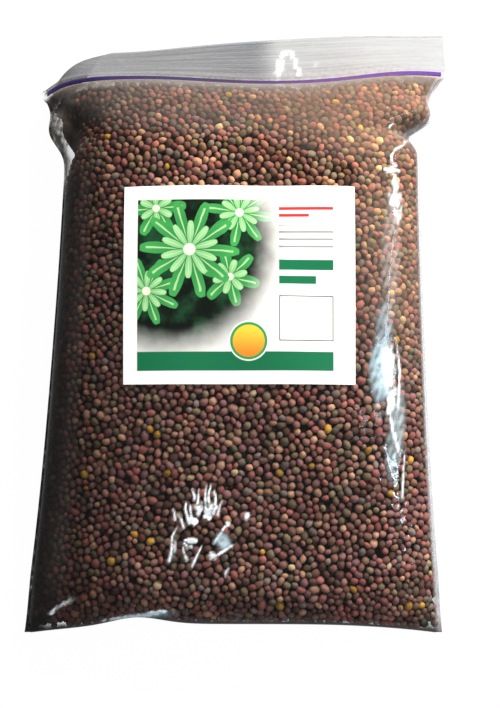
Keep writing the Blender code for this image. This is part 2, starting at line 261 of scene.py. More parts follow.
# Materials: one wrapper for shader maths, and one method for every other node
class Wire:
    def __init__(self, tree, socket=None):
        self.tree = tree
        self.socket = socket

    def node(self, kind, settings=None, **values):
        made = self.tree.nodes.new(kind)
        for key, value in (settings or {}).items():
            setattr(made, key, value)
        for key, value in values.items():
            target = made.inputs[int(key[1:])] if key[1:].isdigit() else made.inputs[key.replace("_", " ")]
            if isinstance(value, Wire):
                self.tree.links.new(value.socket, target)
            else:
                target.default_value = value
        return made

    def get(self, output, kind, settings=None, **values):  # the same, for one of the node's outputs
        return Wire(self.tree, self.node(kind, settings, **values).outputs[output])

    def maths(self, operation, first, second=None, clamp=False):
        given = {"i0": first} if second is None else {"i0": first, "i1": second}
        return self.get(0, "ShaderNodeMath", {"operation": operation, "use_clamp": clamp}, **given)

    def __add__(self, other):
        return self.maths("ADD", self, other)

    def __sub__(self, other):
        return self.maths("SUBTRACT", self, other)

    def __rsub__(self, other):
        return self.maths("SUBTRACT", other, self)

    def __mul__(self, other):
        return self.maths("MULTIPLY", self, other)

    __radd__, __rmul__ = __add__, __mul__

    def __truediv__(self, other):
        return self.maths("DIVIDE", self, other)

    def __pow__(self, other):
        return self.maths("POWER", self, other)

    def clamped(self):
        return self.maths("ADD", self, 0.0, clamp=True)

    def absolute(self):
        return self.maths("ABSOLUTE", self)

    def over(self, low, high):  # from 0 at low to 1 at high, smoothly
        return self.get("Result", "ShaderNodeMapRange", {"interpolation_type": "SMOOTHSTEP"},
                        Value=self, From_Min=low, From_Max=high)

    def blend(self, first, second, kind="MIX"):  # colours, by this factor
        settings = {"data_type": "RGBA", "blend_type": kind}
        return self.get(2, "ShaderNodeMix", settings, i0=self, i6=first, i7=second)

    def tinted(self, colour, tint):  # a colour times a tint, by this factor
        return self.blend(colour, tint, "MULTIPLY")


def newMaterial(name, colour=(0.8, 0.8, 0.8), roughness=0.5, metallic=0.0, specular=0.5):
    material = bpy.data.materials.new(name)
    material.use_nodes = True
    tree = material.node_tree
    shader = tree.nodes["Principled BSDF"]
    shader.inputs["Base Color"].default_value = (*colour, 1)
    shader.inputs["Roughness"].default_value = roughness
    shader.inputs["Metallic"].default_value = metallic
    shader.inputs["Specular IOR Level"].default_value = specular
    return material, Wire(tree), shader


def objectPlace(wire):
    return wire.get("Object", "ShaderNodeTexCoord")


def planPlace(wire, place):
    split = wire.node("ShaderNodeSeparateXYZ", None, Vector=place)
    return Wire(wire.tree, split.outputs[0]), Wire(wire.tree, split.outputs[1])


def noise(wire, place, scale, detail=2.0, roughness=0.5):
    return wire.get("Fac", "ShaderNodeTexNoise", None,
                    Vector=place, Scale=scale, Detail=detail, Roughness=roughness)


def attribute(wire, name, output="Fac"):
    return wire.get(output, "ShaderNodeAttribute", {"attribute_name": name})


def bump(wire, height, distance, strength=1.0):
    return wire.get("Normal", "ShaderNodeBump", None, Height=height, Distance=distance, Strength=strength)


def feed(wire, shader, **sockets):
    for key, value in sockets.items():
        wire.tree.links.new(value.socket, shader.inputs[key.replace("_", " ")])


# Meshes: helpers for sheets whose points follow a formula
def addPiece(name, add, **settings):
    bpy.ops.object.select_all(action="DESELECT")
    add(**settings)
    piece = bpy.context.object
    piece.name = name
    piece.data.name = name
    return piece


def faceOutward():
    bpy.ops.object.mode_set(mode="EDIT")
    bpy.ops.mesh.select_all(action="SELECT")
    bpy.ops.mesh.normals_make_consistent(inside=False)
    bpy.ops.object.mode_set(mode="OBJECT")


def gridSheet(name, points):
    rows, columns = points.shape[:2]
    sheet = addPiece(name, bpy.ops.mesh.primitive_grid_add,
                     x_subdivisions=columns - 1, y_subdivisions=rows - 1, size=2)
    flat = np.empty(len(sheet.data.vertices) * 3)
    sheet.data.vertices.foreach_get("co", flat)
    flat = flat.reshape(-1, 3)
    column = np.rint((flat[:, 0] + 1) / 2 * (columns - 1)).astype(int)
    row = np.rint((flat[:, 1] + 1) / 2 * (rows - 1)).astype(int)
    sheet.data.vertices.foreach_set("co", points[row, column].ravel())
    sheet.data.update()
    return sheet, row, column


def setAttribute(piece, name, values):
    made = piece.data.attributes.new(name, "FLOAT", "POINT")
    made.data.foreach_set("value", np.ascontiguousarray(values, dtype=np.float32))


def setColours(piece, name, colours):
    made = piece.data.attributes.new(name, "FLOAT_COLOR", "POINT")
    rgba = np.concatenate([colours, np.ones((len(colours), 1))], axis=1)
    made.data.foreach_set("color", rgba.astype(np.float32).ravel())


def applyModifier(piece, kind, **settings):
    bpy.context.view_layer.objects.active = piece
    made = piece.modifiers.new(kind.lower(), kind)
    for key, value in settings.items():
        setattr(made, key, value)
    bpy.ops.object.modifier_apply(modifier=made.name)


def shadeSmooth(piece, angle=None):
    bpy.ops.object.select_all(action="DESELECT")
    piece.select_set(True)
    bpy.context.view_layer.objects.active = piece
    if angle is None:
        bpy.ops.object.shade_smooth()
    else:
        bpy.ops.object.shade_smooth_by_angle(angle=math.radians(angle))


def finishPiece(piece, material, slot, *nodes):
    piece.data.materials.clear()
    piece.data.materials.append(material)
    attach(piece, "root")
    if nodes:
        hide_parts(*nodes)
    print(piece.name, len(piece.data.polygons), "faces")


def lineDistance(x, y, line):
    # signed distance from points to a line of corners (+ to its left), and the share walked along it
    corners = np.array(line) / 1000
    steps = np.linalg.norm(np.diff(corners, axis=0), axis=1)
    walked = np.concatenate([[0], np.cumsum(steps)]) / steps.sum()
    best = np.full(x.shape, np.inf)
    signed = np.zeros(x.shape)
    share = np.zeros(x.shape)
    for k, (a, b) in enumerate(zip(corners, corners[1:])):
        way = (b - a) / steps[k]
        along = np.clip((x - a[0]) * way[0] + (y - a[1]) * way[1], 0, steps[k])
        dx, dy = x - a[0] - along * way[0], y - a[1] - along * way[1]
        distance = np.hypot(dx, dy)
        nearer = distance < best
        best = np.where(nearer, distance, best)
        side = np.where(way[0] * dy - way[1] * dx >= 0, 1.0, -1.0)
        signed = np.where(nearer, distance * side, signed)
        share = np.where(nearer, walked[k] + along / steps[k] * (walked[k + 1] - walked[k]), share)
    return signed, share


# The film: a front and a back sheet, each with its own wall, see-through, and creased or milky in places,
# with painted highlights, painted reflections and painted shade
film = {
    "outer": 0.00035,  # of the outer face from the inside of the solid bag
    "wall": 0.00007,
    "free": 0.03,  # over this share from the seals the panels come to stand off each other
    "zipGap": 0.00072,
    "lipGap": 0.00022,
    "bodyEnd": 0.987,  # the panels' last row, under the zip
    "frontColumns": 204,
    "frontRows": 192,
    "backColumns": 110,
    "backRows": 110,
    "lipRows": 24,
    "foldRows": 4,
    # where rows and columns lie closer together: place, spread, how much closer
    "closeColumns": [(-1, 0.06, 5), (1, 0.06, 5)],
    "closeFrontColumns": [(-0.2, 0.16, 2.2), (0.8, 0.12, 1.6)],
    "closeRows": [(0, 0.03, 3), (0.987, 0.05, 2)],
    "closeFrontRows": [(0.18, 0.07, 2), (0.83, 0.04, 1.5)],
    "taper": 0.2,  # the share of a crease over which it rises at each end
    "crest": 0.00025,  # half the width of a crease's painted white highlight line
    "crestWidths": (0.7, 0.9),  # in crests: at the line's start, and what it gains on the way
    "crestEnds": (0.25, 0.08),
    "ragged": 0.22,
    "glintRagged": 1.6,
    "glintEdge": (0.55, 0.6),
    "cloudEdge": (0.35, 0.65),
    "patchiness": 0.80,  # of the clouds
    "speckles": ((1900, 700), (900, -1700)),  # about as coarse as the seeds that press against the film
    "clearHaze": 0.002,
    "clearGrey": 0.25,
    "paintedGlow": 0.5,
    "paintedCrestColour": (0.95, 0.97, 1.0, 1),
    "paintedGlowColour": (0.84, 0.94, 1.0, 1),
    "mirrorColour": (0.90, 0.93, 0.96, 1),
    "roughness": 0.10,
    "glossHeadOn": 0.03,
    "glossEdge": 0.85,
    "dimples": 330.0,  # texture scales
    "ripples": 90.0,
    "blotches": 260.0,
    "breaks": 520.0,
    "drawnLines": (14.0, 26.0),
    "lipsFrom": (0.05, 0.15),
    "bumpHeight": 0.0006,
    "patchy": (0.25, 0.6, 1.2),  # haze: its least, and what the blotches and the dimples add
    "streaky": (0.55, 0.9),  # on the lips: its least, and what the drawn lines add
    "broken": (0.30, 0.95),  # the creases' painted white lines: their least, and what the breaks leave
}

# Creases: corners in millimetres over the plan, height, width left and right, and how white the painted
# highlight on the crest is
film["creases"] = [
    (((63.8, 69.3), (59.3, 63.5), (56.5, 61.5), (54.9, 59), (55.2, 56.5), (57.5, 55)), 0.4, (0.5, 0.6), 0.5),
    (((51.7, 53.1), (55.2, 53.2), (58.3, 54.1)), 0.6, (0.8, 0.9), 0.8),
    (((55.3, 72.5), (55, 70)), 0.4, (0.6, 0.6), 0.7),
    (((57, 52), (55.8, 46), (57.4, 40)), 0.7, (1.0, 1.4), 0.5),
    (((57, 38), (55, 26), (53, 7), (52, -9)), 0.5, (1.6, 2.4), 0.0),
    (((52.1, -24), (54.4, -38.9), (57.4, -47.7)), 0.7, (1.0, 1.6), 0.9),
    (((55.5, -6), (57.2, -18), (56.5, -32)), 0.5, (0.8, 0.8), 0.7),
    (((59.3, -44.9), (58.6, -53), (58.2, -63.6)), 0.5, (0.8, 0.8), 0.5),
    (((-17.8, -63.3), (-18.2, -66.2), (-17.6, -68.8), (-16.6, -72)), 0.7, (0.9, 0.8), 1.0),
    (((-16.7, -64.4), (-16.3, -67.5), (-15.8, -71)), 0.6, (0.7, 0.7), 0.9),
    (((-16, -59), (-15.1, -61.7), (-14.9, -63.5)), 0.5, (0.7, 0.7), 0.8),
    (((-13.5, -59), (-13.7, -63), (-14.4, -66.5)), 0.6, (0.7, 0.7), 0.8),
    (((-10.8, -57.6), (-11.3, -62.6), (-10.8, -68.5)), 0.7, (0.8, 0.7), 1.0),
    (((-9.1, -57.2), (-10.2, -61.7), (-9.5, -68.5)), 0.7, (0.7, 0.7), 0.9),
    (((-8.2, -59.5), (-7.6, -63.5), (-8.6, -68.5)), 0.7, (0.8, 0.7), 1.0),
    (((-5.4, -63.2), (-6.2, -65.7), (-7.1, -69)), 0.4, (0.6, 0.6), 0.6),
    (((-22.5, -66), (-21.6, -70.5)), 0.4, (0.6, 0.6), 0.6),
    (((-21.4, -67.3), (-19.6, -70.2), (-18.6, -73.4)), 0.5, (0.7, 0.7), 0.8),
    (((-20.6, -71.5), (-22.9, -76), (-23.1, -81.4), (-24.2, -85.4)), 0.6, (0.8, 0.8), 0.8),
    (((-19.4, -77.5), (-17.1, -76.9), (-13.8, -77.3)), 0.5, (0.7, 0.7), 0.9),
    (((-19.3, -77.6), (-17.6, -79.5), (-15.6, -79.5)), 0.5, (0.7, 0.7), 0.8),
    (((-19.2, -78.5), (-18.8, -81.5), (-17.4, -84.6)), 0.5, (0.8, 0.8), 0.6),
    (((-12.2, -78.6), (-14, -82.2), (-16, -86.4)), 0.5, (0.7, 0.7), 0.8),
    (((-3.2, -70.6), (-5.5, -74.1), (-8.5, -78.6)), 0.6, (0.8, 0.8), 0.8),
    (((-0.4, -77.7), (-4.6, -80.8), (-10, -83.9)), 0.6, (0.9, 0.8), 1.0),
    (((-68.3, -105), (-64.2, -101.6), (-58.2, -98.6)), 0.5, (0.9, 0.9), 0.7),
    (((3.8, -66.8), (3.2, -69.8)), 0.4, (0.7, 0.7), 0.8),
    (((-2.9, -87), (-4.6, -89.2)), 0.4, (0.7, 0.7), 0.7),
    (((14.5, 93.5), (15.6, 101), (18.2, 104.6), (20.8, 101), (23.6, 93.5)), 0.4, (0.7, 0.7), 0.6),
    (((15.8, 101.5), (17, 96)), 0.3, (0.6, 0.6), 0.8),
    (((28.4, 103.5), (28.8, 98)), 0.2, (0.5, 0.5), 0.5),
]

# Painted highlights where slack film would turn to the light: middle and half size in millimetres, lean,
# whiteness
film["glints"] = [
    ((-15.6, -70.6), (2.1, 1.5), 0.3, 1.0),
    ((-13.4, -66.2), (1.5, 2.2), 0.1, 0.55),
    ((-10.0, -68.0), (1.9, 2.0), 0.2, 1.0),
    ((-8.4, -65.6), (1.6, 2.2), -0.2, 0.7),
    ((-15.8, -77.6), (1.9, 0.6), 0.1, 0.8),
    ((-22.2, -80.0), (1.0, 3.0), 0.0, 0.25),
    ((-8.6, -82.4), (2.1, 1.0), 0.6, 0.8),
    ((3.3, -68.8), (0.9, 1.4), -0.3, 0.8),
    ((-3.4, -71.6), (0.8, 1.3), -0.6, 0.7),
    ((56.4, 43.0), (2.8, 3.2), 0.1, 0.55),
    ((56.4, 49.0), (1.4, 3.0), 0.0, 0.45),
    ((57.4, 37.5), (1.6, 2.2), 0.0, 0.45),
    ((54.8, 54.0), (2.6, 0.7), 0.0, 0.7),
    ((52.8, -17.0), (2.8, 8.0), 0.02, 0.42),
    ((54.0, -29.0), (1.6, 6.0), 0.2, 0.7),
    ((15.4, 98.0), (1.5, 4.4), 0.14, 0.5),
    ((18.2, 103.4), (2.4, 1.2), 0.0, 0.5),
    ((21.6, 98.6), (0.7, 5.6), -0.3, 0.5),
    ((-66.6, -103.6), (1.3, 0.7), -0.8, 0.8),
    ((-59.6, -99.4), (1.0, 0.6), -0.8, 0.7),
    ((-37.5, -105.2), (9.0, 0.8), -0.13, 0.75),
    ((-29.5, -103.4), (5.0, 0.9), -0.22, 0.75),
    ((-5.0, -77.6), (2.0, 2.6), -0.5, 0.22),
]

# Patches where the film looks milky or dull, and patches of painted shade and painted reflection: middle,
# half size, lean, haze, colour
film["clouds"] = [
    # a warm, milky veil at the upper right
    ((44, 80), (46, 28), 0.0, 0.11, (0.29, 0.16, 0.08)),
    # painted shade over the top of the bag
    ((-5, 82), (66, 19), 0.0, 0.11, (0.078, 0.043, 0.028)),
    # a faint warm veil over the right flank
    ((54, 20), (18, 62), 0.0, 0.05, (0.5, 0.34, 0.2)),
    # painted reflections of the window down the right flank
    ((54.2, 22), (4.5, 34), 0.05, 0.09, (0.8, 0.84, 0.9)),
    ((51.5, -3), (4.0, 11), 0.0, 0.2, (0.55, 0.76, 0.92)),
    ((50.5, -18), (5.4, 14), 0.0, 0.5, (0.6, 0.84, 0.98)),
    ((55.8, -40), (4.0, 20), 0.12, 0.3, (0.6, 0.76, 0.84)),
    # painted shade at the upper left, and the painted shadow of its fold
    ((-67, 84), (8, 6), 0.0, 0.25, (0.02, 0.014, 0.01)),
    ((-60, 71), (3.5, 9), 0.6, 0.35, (0.01, 0.007, 0.006)),
    # the slack, doubled film at the upper left
    ((-69.5, 68), (9, 18), 0.3, 0.44, (0.19, 0.138, 0.1)),
    # painted reflections by the lower creases and along the pucker
    ((-5.2, -77.3), (3.4, 4.4), -0.5, 0.6, (0.5, 0.76, 0.88)),
    ((-33, -104.6), (15, 1.8), -0.17, 0.6, (0.45, 0.8, 0.95)),
]

# Dents that the film and the seeds share, where the sides are gathered in: as creases, with no white
film["dents"] = [
    (((-74, 86), (-65, 79), (-58, 71), (-51, 63)), -1.4, (2.4, 3.6)),
    (((72, 67), (64, 65), (57, 60)), -0.5, (1.6, 1.8)),
]

# Coats of haze that follow the bag's edges, painted shade and painted light among them: how much, from which
# place over what reach, and the colour
film["coats"] = {
    "strip": {"most": 0.70, "along": (0.964, 0.018), "colour": (0.130, 0.095, 0.082)},
    # the fold and the seals: painted lighter towards the right
    "fold": {"most": 0.60, "along": (0.0, 0.011), "greys": (0.08, 0.12), "hue": (1.0, 0.81, 0.75)},
    "seal": {"most": 0.26, "across": (0.972, 0.024), "greys": (0.22, 0.55), "hue": (1.0, 1.0, 1.08)},
    # the left side, which the window doesn't reach
    "shade": {"most": 0.28, "across": (0.80, 0.16), "edgeMost": 0.45, "edge": (0.965, 0.025),
              "less": 0.85, "above": (0.78, 0.06), "colour": (0.006, 0.004, 0.003)},
    # painted shade in the bottom corners, less of it at the right
    "corner": {"most": 0.75, "across": (0.90, 0.06), "along": (0.012, 0.018), "less": 0.7,
               "colour": (0.03, 0.022, 0.018)},
    # the lips: thinner, darker haze over the right half; painted paler at the far right, where the light
    # falls, and paler at the seals and the left
    "lips": {"most": 0.36, "less": 0.26, "start": (0.0010, 0.0006), "bright": (0.03, 0.16), "grey": 0.17,
             "duller": 0.06, "paler": ((0.10, 0.3, 0.6), (0.06, 0.93, 0.01), (0.07, 0.4, 0.3)),
             "hue": (0.90, 0.98, 1.18)},
    "line": {"most": 0.16, "at": (0.0021, 0.0005), "colour": (0.50, 0.47, 0.58)},
    "rim": {"most": 0.12, "from": (0.0150, 0.0015), "colour": (0.40, 0.50, 0.66)},
}


def relief(x, y, lines):
    height = np.zeros(x.shape)
    for corners, rise, (left, right), *_ in lines:
        signed, share = lineDistance(x, y, corners)
        width = np.where(signed > 0, left / 1000, right / 1000)
        taper = smooth(np.minimum(share, 1 - share) / film["taper"])
        here = rise / 1000 * np.exp(-((signed / width) ** 2)) * taper
        height = np.where(np.abs(here) > np.abs(height), here, height)
    return height


def fromPatch(x, y, middle, half, tilt):  # 0 at its middle, 1 on its oval edge
    dx, dy = x * 1000 - middle[0], y * 1000 - middle[1]
    across, along = dx - tilt * dy, dy + tilt * dx
    return np.hypot(across / half[0], along / half[1])


def speckle(x, y):
    (a, b), (c, d) = film["speckles"]
    return np.sin(a * x + b * y) * np.sin(c * x + d * y + 1.3)


# painted highlights: white lines along the creases' crests, and the glints
def paintHighlights(x, y):
    paintedHighlight = np.zeros(x.shape)
    ragged = film["ragged"] * speckle(x, y)
    least, gain = film["crestWidths"]
    rising, falling = film["crestEnds"]
    for corners, _, _, most in film["creases"]:
        signed, share = lineDistance(x, y, corners)
        width = film["crest"] * (least + gain * share + ragged)
        ends = smooth(np.minimum(share / rising, (1 - share) / falling))
        paintedHighlight = np.maximum(paintedHighlight, most * np.exp(-((signed / width) ** 2)) * ends)
    for *patch, most in film["glints"]:
        far = fromPatch(x, y, *patch) + ragged * film["glintRagged"]
        paintedHighlight = np.maximum(paintedHighlight, most * (1 - ramp(far, *film["glintEdge"])) * (1 + ragged))
    return paintedHighlight


def coat(haze, tint, amount, colour):  # one more cloudy coat over the film
    covered = haze + amount - haze * amount
    tint = tint * (haze * (1 - amount))[..., None] + np.array(colour) * np.asarray(amount)[..., None]
    return covered, tint / covered[..., None]


def coated(shape, *layers):  # clear film under some coats, each an amount and a colour
    haze, tint = np.full(shape, film["clearHaze"]), np.full((*shape, 3), film["clearGrey"])
    for amount, colour in layers:
        haze, tint = coat(haze, tint, amount, colour)
    return haze, tint


def crowded(low, high, count, places):
    # numbers from low to high, closer together around some places: (place, spread, how much closer)
    fine = np.linspace(low, high, 4001)
    density = 1 + sum(closer * bell(fine, place, spread) for place, spread, closer in places)
    walked = np.concatenate([[0], np.cumsum(density[1:] + density[:-1])])
    return np.interp(np.linspace(0, walked[-1], count), walked, fine)


def filmColumns(count, side):
    columns = crowded(-1, 1, count, film["closeColumns"] + film["closeFrontColumns"] * (side > 0))
    edge = bag["sealShare"]
    middle = (1 + edge) / 2
    return np.concatenate([[-edge, -middle], columns, [middle, edge]]) * side


def filmPoints(side, columnCount, rowCount):
    u = filmColumns(columnCount, side)[None, :]
    # the panels lie close together at the seals, and stand off the filling everywhere else
    wall = film["wall"]
    offset = between(wall, film["outer"], smooth((1 - np.abs(u)) / film["free"]))
    places = film["closeRows"] + film["closeFrontRows"] * (side > 0)
    v = crowded(0.0, film["bodyEnd"], rowCount, places)[:, None]
    body = panelPoint(u, v, side, offset, film["zipGap"])
    quarter = np.linspace(math.pi / 2, 0, film["foldRows"] + 1)[:-1, None]
    middle = panelPoint(u, 0.0, side, 0 * offset)
    middle[..., 2] = seamZ(np.clip(u, -1, 1), 0.0)
    fold = middle + np.stack(np.broadcast_arrays(0 * u, -offset * np.sin(quarter),
                                                 side * offset * np.cos(quarter)), axis=-1)
    above = np.linspace(bag["zipHold"], bag["lip"], film["lipRows"])
    h = np.concatenate([[-bag["zipHold"], 0.0], above])[:, None]
    lips = lipPoint(u, h, side, wall + 0 * u, film["zipGap"], film["lipGap"])
    looks = [panelLook(u, 0 * quarter, side), panelLook(u, v, side), lipLook(u, h)]
    haze, tint = (np.concatenate([look[k] for look in looks]) for k in (0, 1))
    height = np.concatenate([0 * u + 0 * quarter, 0 * u + 0 * v, 0 * u + np.maximum(h, 0.0) / bag["lip"]])
    return np.concatenate([fold, body, lips]), haze, tint, height


def paintedLighterRight(u, look):  # a colour painted lighter towards the right, where the light falls
    grey, gain = look["greys"]
    return (grey + gain * smooth(u / 0.5))[..., None] * np.array(look["hue"])


def panelLook(u, v, side):  # cloudiness of a panel, and the colour of its clouds, with painted shade at the left and the corners and painted light towards the right
    u, v = np.broadcast_arrays(u, v)
    names = ("strip", "fold", "seal", "shade", "corner")
    strip, fold, seal, shade, corner = (film["coats"][name] for name in names)
    dark = shade["most"] * ramp(-u, *shade["across"])
    dark = dark + shade["edgeMost"] * ramp(-u, *shade["edge"]) * (side > 0)
    dark = dark * (1 - shade["less"] * ramp(v, *shade["above"]))
    near = ramp(np.abs(u), *corner["across"]) * (1 - ramp(v, *corner["along"]))
    return coated(
        u.shape,
        (strip["most"] * ramp(v, *strip["along"]), strip["colour"]),
        (fold["most"] * (1 - ramp(v, *fold["along"])), paintedLighterRight(u, fold)),
        (seal["most"] * ramp(np.abs(u), *seal["across"]), paintedLighterRight(u, seal)),
        (dark, shade["colour"]),
        (corner["most"] * near * (1 - corner["less"] * smooth(u)), corner["colour"]),
    )


def lipLook(u, h):
    u, h = np.broadcast_arrays(u, h)
    lips, line, rim = (film["coats"][name] for name in ("lips", "line", "rim"))
    above = ramp(h, *lips["start"])
    bright = ramp(u, *lips["bright"])
    grey = lips["grey"] - lips["duller"] * bright
    for place, (most, start, reach) in zip((u, np.abs(u), -u), lips["paler"]):
        grey = grey + most * ramp(place, start, reach)
    return coated(
        u.shape,
        ((lips["most"] - lips["less"] * bright) * above, grey[..., None] * np.array(lips["hue"])),
        (line["most"] * bell(h, *line["at"]) * above, line["colour"]),
        (rim["most"] * ramp(h, *rim["from"]) * (1 - bright), rim["colour"]),
    )


def makeFilmMaterial():
    material, wire, shader = newMaterial("clearFilm", (0.9, 0.9, 0.9), film["roughness"], 1.0)
    place = objectPlace(wire)
    haze, paintedHighlight, height = (attribute(wire, name) for name in ("haze", "paintedHighlight", "height"))
    tint = attribute(wire, "tint", "Color")
    # fine lines run along the lips, drawn in the film as it was made
    x, _ = planPlace(wire, place)
    across, along = film["drawnLines"]
    lines = wire.get("Vector", "ShaderNodeCombineXYZ", None, X=x * across, Y=height * along)
    drawn = noise(wire, lines, 1.0, 4.0, 0.65)
    lips = height.over(*film["lipsFrom"])
    cells = wire.get("Distance", "ShaderNodeTexVoronoi", {"feature": "SMOOTH_F1"},
                     Vector=place, Scale=film["dimples"])
    ripple = noise(wire, place, film["ripples"], 3.0)
    uneven = (cells * 0.6 + ripple) * (1.0 - lips * 0.8) + drawn * lips * 2.0
    normal = bump(wire, uneven, film["bumpHeight"], 0.5)
    # the same gloss on both faces of the wall: a few hundredths head on, and a mirror edge on
    facing = wire.get("Facing", "ShaderNodeLayerWeight", None, Normal=normal)
    gloss = film["glossHeadOn"] + facing ** 5.0 * film["glossEdge"]
    least, blotchy, dimpled = film["patchy"]
    patchy = least + noise(wire, place, film["blotches"], 3.0) * blotchy + cells * dimpled
    least, most = film["streaky"]
    streaky = least + drawn.over(0.30, 0.70) * most
    mist = (haze * (patchy * (1.0 - lips) + lips * streaky)).clamped()
    least, most = film["broken"]
    broken = least + noise(wire, place, film["breaks"], 2.0).over(0.30, 0.60) * most
    crest = (paintedHighlight * broken).clamped()
    factor = (gloss + mist + crest).clamped()
    mirror = (gloss / (gloss + mist + crest)).clamped()
    creased = (crest / (mist + crest)).clamped()
    # painted highlights: the crests and glints are white and glow, though they are no lamp
    colour = mirror.blend(creased.blend(tint, film["paintedCrestColour"]), film["mirrorColour"])
    glow = (creased * (1.0 - mirror)).blend((0, 0, 0, 1), film["paintedGlowColour"])
    feed(wire, shader, Normal=normal, Metallic=mirror, Base_Color=colour, Emission_Color=glow)
    shader.inputs["Emission Strength"].default_value = film["paintedGlow"]
    clear = wire.get(0, "ShaderNodeBsdfTransparent")
    glossy = Wire(wire.tree, shader.outputs[0])
    mixed = wire.get(0, "ShaderNodeMixShader", None, Fac=factor, i1=clear, i2=glossy)
    feed(wire, wire.tree.nodes["Material Output"], Surface=mixed)
    return material


def makeFilm(material):
    for name, side, columns, rows in (
        ("filmFront", 1, film["frontColumns"], film["frontRows"]),
        ("filmBack", -1, film["backColumns"], film["backRows"]),
    ):
        points, haze, tint, height = filmPoints(side, columns, rows)
        if side > 0:
            x, y = points[..., 0], points[..., 1]
            clear = clearOfLabel(points)
            paintedHighlight = paintHighlights(x, y) * clear
            points[..., 2] += relief(x, y, film["creases"]) * clear + relief(x, y, film["dents"])
            for *patch, most, colour in film["clouds"]:
                amount = most * (1 - ramp(fromPatch(x, y, *patch), *film["cloudEdge"]))
                amount = amount * (1 + film["patchiness"] * speckle(x, y))
                haze, tint = coat(haze, tint, amount, colour)
        sheet, row, column = gridSheet(name, points)
        setColours(sheet, "tint", tint[row, column])
        if side > 0:
            setAttribute(sheet, "paintedHighlight", paintedHighlight[row, column])
        setAttribute(sheet, "haze", haze[row, column])
        setAttribute(sheet, "height", height[row, column])
        applyModifier(sheet, "SOLIDIFY", thickness=film["wall"], offset=-1)
        shadeSmooth(sheet)
        finishPiece(sheet, material, "clear_film", "bag_film")


# The paper label, stuck on the front
greenInk = (0.008, 0.145, 0.060, 1)
redInk = (0.62, 0.035, 0.035, 1)
label = {
    "width": 0.0810,
    "height": 0.0695,
    "centre": (0.0006, 0.0115),
    "lift": 0.00012,
    "thick": 0.00016,
    "clearing": 0.002,  # the film's creases end this far from it
    "paper": (0.93, 0.93, 0.92),
    "grain": 2500.0,  # texture scales
    "mottle": 160.0,
    "grainDepth": 0.00003,
    "paintedPaperGlow": 0.45,  # painted light: the paper and its print glow, though no lamp
    "columns": 54,
    "rows": 46,
    # the print, in shares of the width from the middle: leaf rosettes on a dark ground, bars and rules
    "area": (-0.44, 0.405, -0.372, 0.368),
    "ground": (-0.30, 0.17, 0.47, 0.10),  # middle, reach and softness of its edge
    "groundInks": ((0.005, 0.008, 0.006, 1), (0.012, 0.060, 0.024, 1)),
    "rosettes": [
        # middle, size, pairs of leaves, turn
        (-0.40, -0.03, 0.15, 4, 0.4),
        (0.00, 0.31, 0.15, 4, 0.1),
        (-0.36, 0.33, 0.13, 3, 0.9),
        (-0.04, 0.03, 0.13, 3, 0.2),
        (-0.215, 0.150, 0.215, 5, 0.0),
    ],
    # size of each ring of leaves and of the eye, in shares of the rosette's
    "rings": (1.0, 0.58, 0.12),
    "ribAcross": (0.985, 0.997),  # how narrow a leaf's rib is
    "ribAlong": (0.20, 0.35, 0.88),  # where it starts, is full and ends
    "outerInks": ((0.010, 0.10, 0.030, 1), (0.055, 0.36, 0.085, 1)),
    "innerInks": ((0.10, 0.36, 0.12, 1), (0.36, 0.66, 0.32, 1)),
    "ribInk": (0.42, 0.70, 0.36, 1),
    "eyeInk": (0.75, 0.85, 0.62, 1),
    "bars": [
        (-0.44, 0.405, -0.372, -0.290, greenInk),
        (0.17, 0.405, 0.060, 0.105, greenInk),
        (0.17, 0.330, 0.000, 0.035, greenInk),
        (0.17, 0.405, 0.322, 0.336, redInk),
        (0.17, 0.300, 0.292, 0.306, redInk),
    ],
    "rules": {"area": (0.17, 0.405, 0.146, 0.258), "step": 0.0320, "thick": 0.0045,
              "ink": (0.14, 0.14, 0.15, 1)},
    "frame": {"area": (0.17, 0.405, -0.245, -0.050), "thick": 0.005, "ink": (0.05, 0.05, 0.055, 1)},
    # middle and size, then the shares of the size that the green ring and the sunny disc reach
    "badge": (0.04, -0.245, 0.085),
    "badgeRings": (0.94, 0.80),
    "badgeInks": ((0.03, 0.30, 0.07, 1), (0.85, 0.20, 0.02, 1), (0.95, 0.62, 0.05, 1)),
    "edge": 0.0022,  # softness of the print's edges
}


def clearOfLabel(points):
    fromX = np.abs(points[..., 0] - label["centre"][0]) - label["width"] / 2
    fromY = np.abs(points[..., 1] - label["centre"][1]) - label["height"] / 2
    return smooth(np.maximum(fromX, fromY) / label["clearing"])


def frontHeight(x, y, offset):
    u, v = sharesAt(x, y)
    return panelPoint(u, v, 1, offset)[..., 2]


def makeLabel():
    a = np.linspace(-0.5, 0.5, label["columns"])[None, :]
    b = np.linspace(-0.5, 0.5, label["rows"])[:, None]
    x = label["centre"][0] + a * label["width"] + 0 * b
    y = label["centre"][1] + b * label["height"] + 0 * a
    z = frontHeight(x, y, film["outer"]) + label["lift"] + label["thick"]
    sheet, row, column = gridSheet("paperLabel", np.stack([x, y, z], axis=-1))
    applyModifier(sheet, "SOLIDIFY", thickness=label["thick"], offset=-1)
    shadeSmooth(sheet, 40)
    finishPiece(sheet, makeLabelMaterial(), "label_paper", "label")


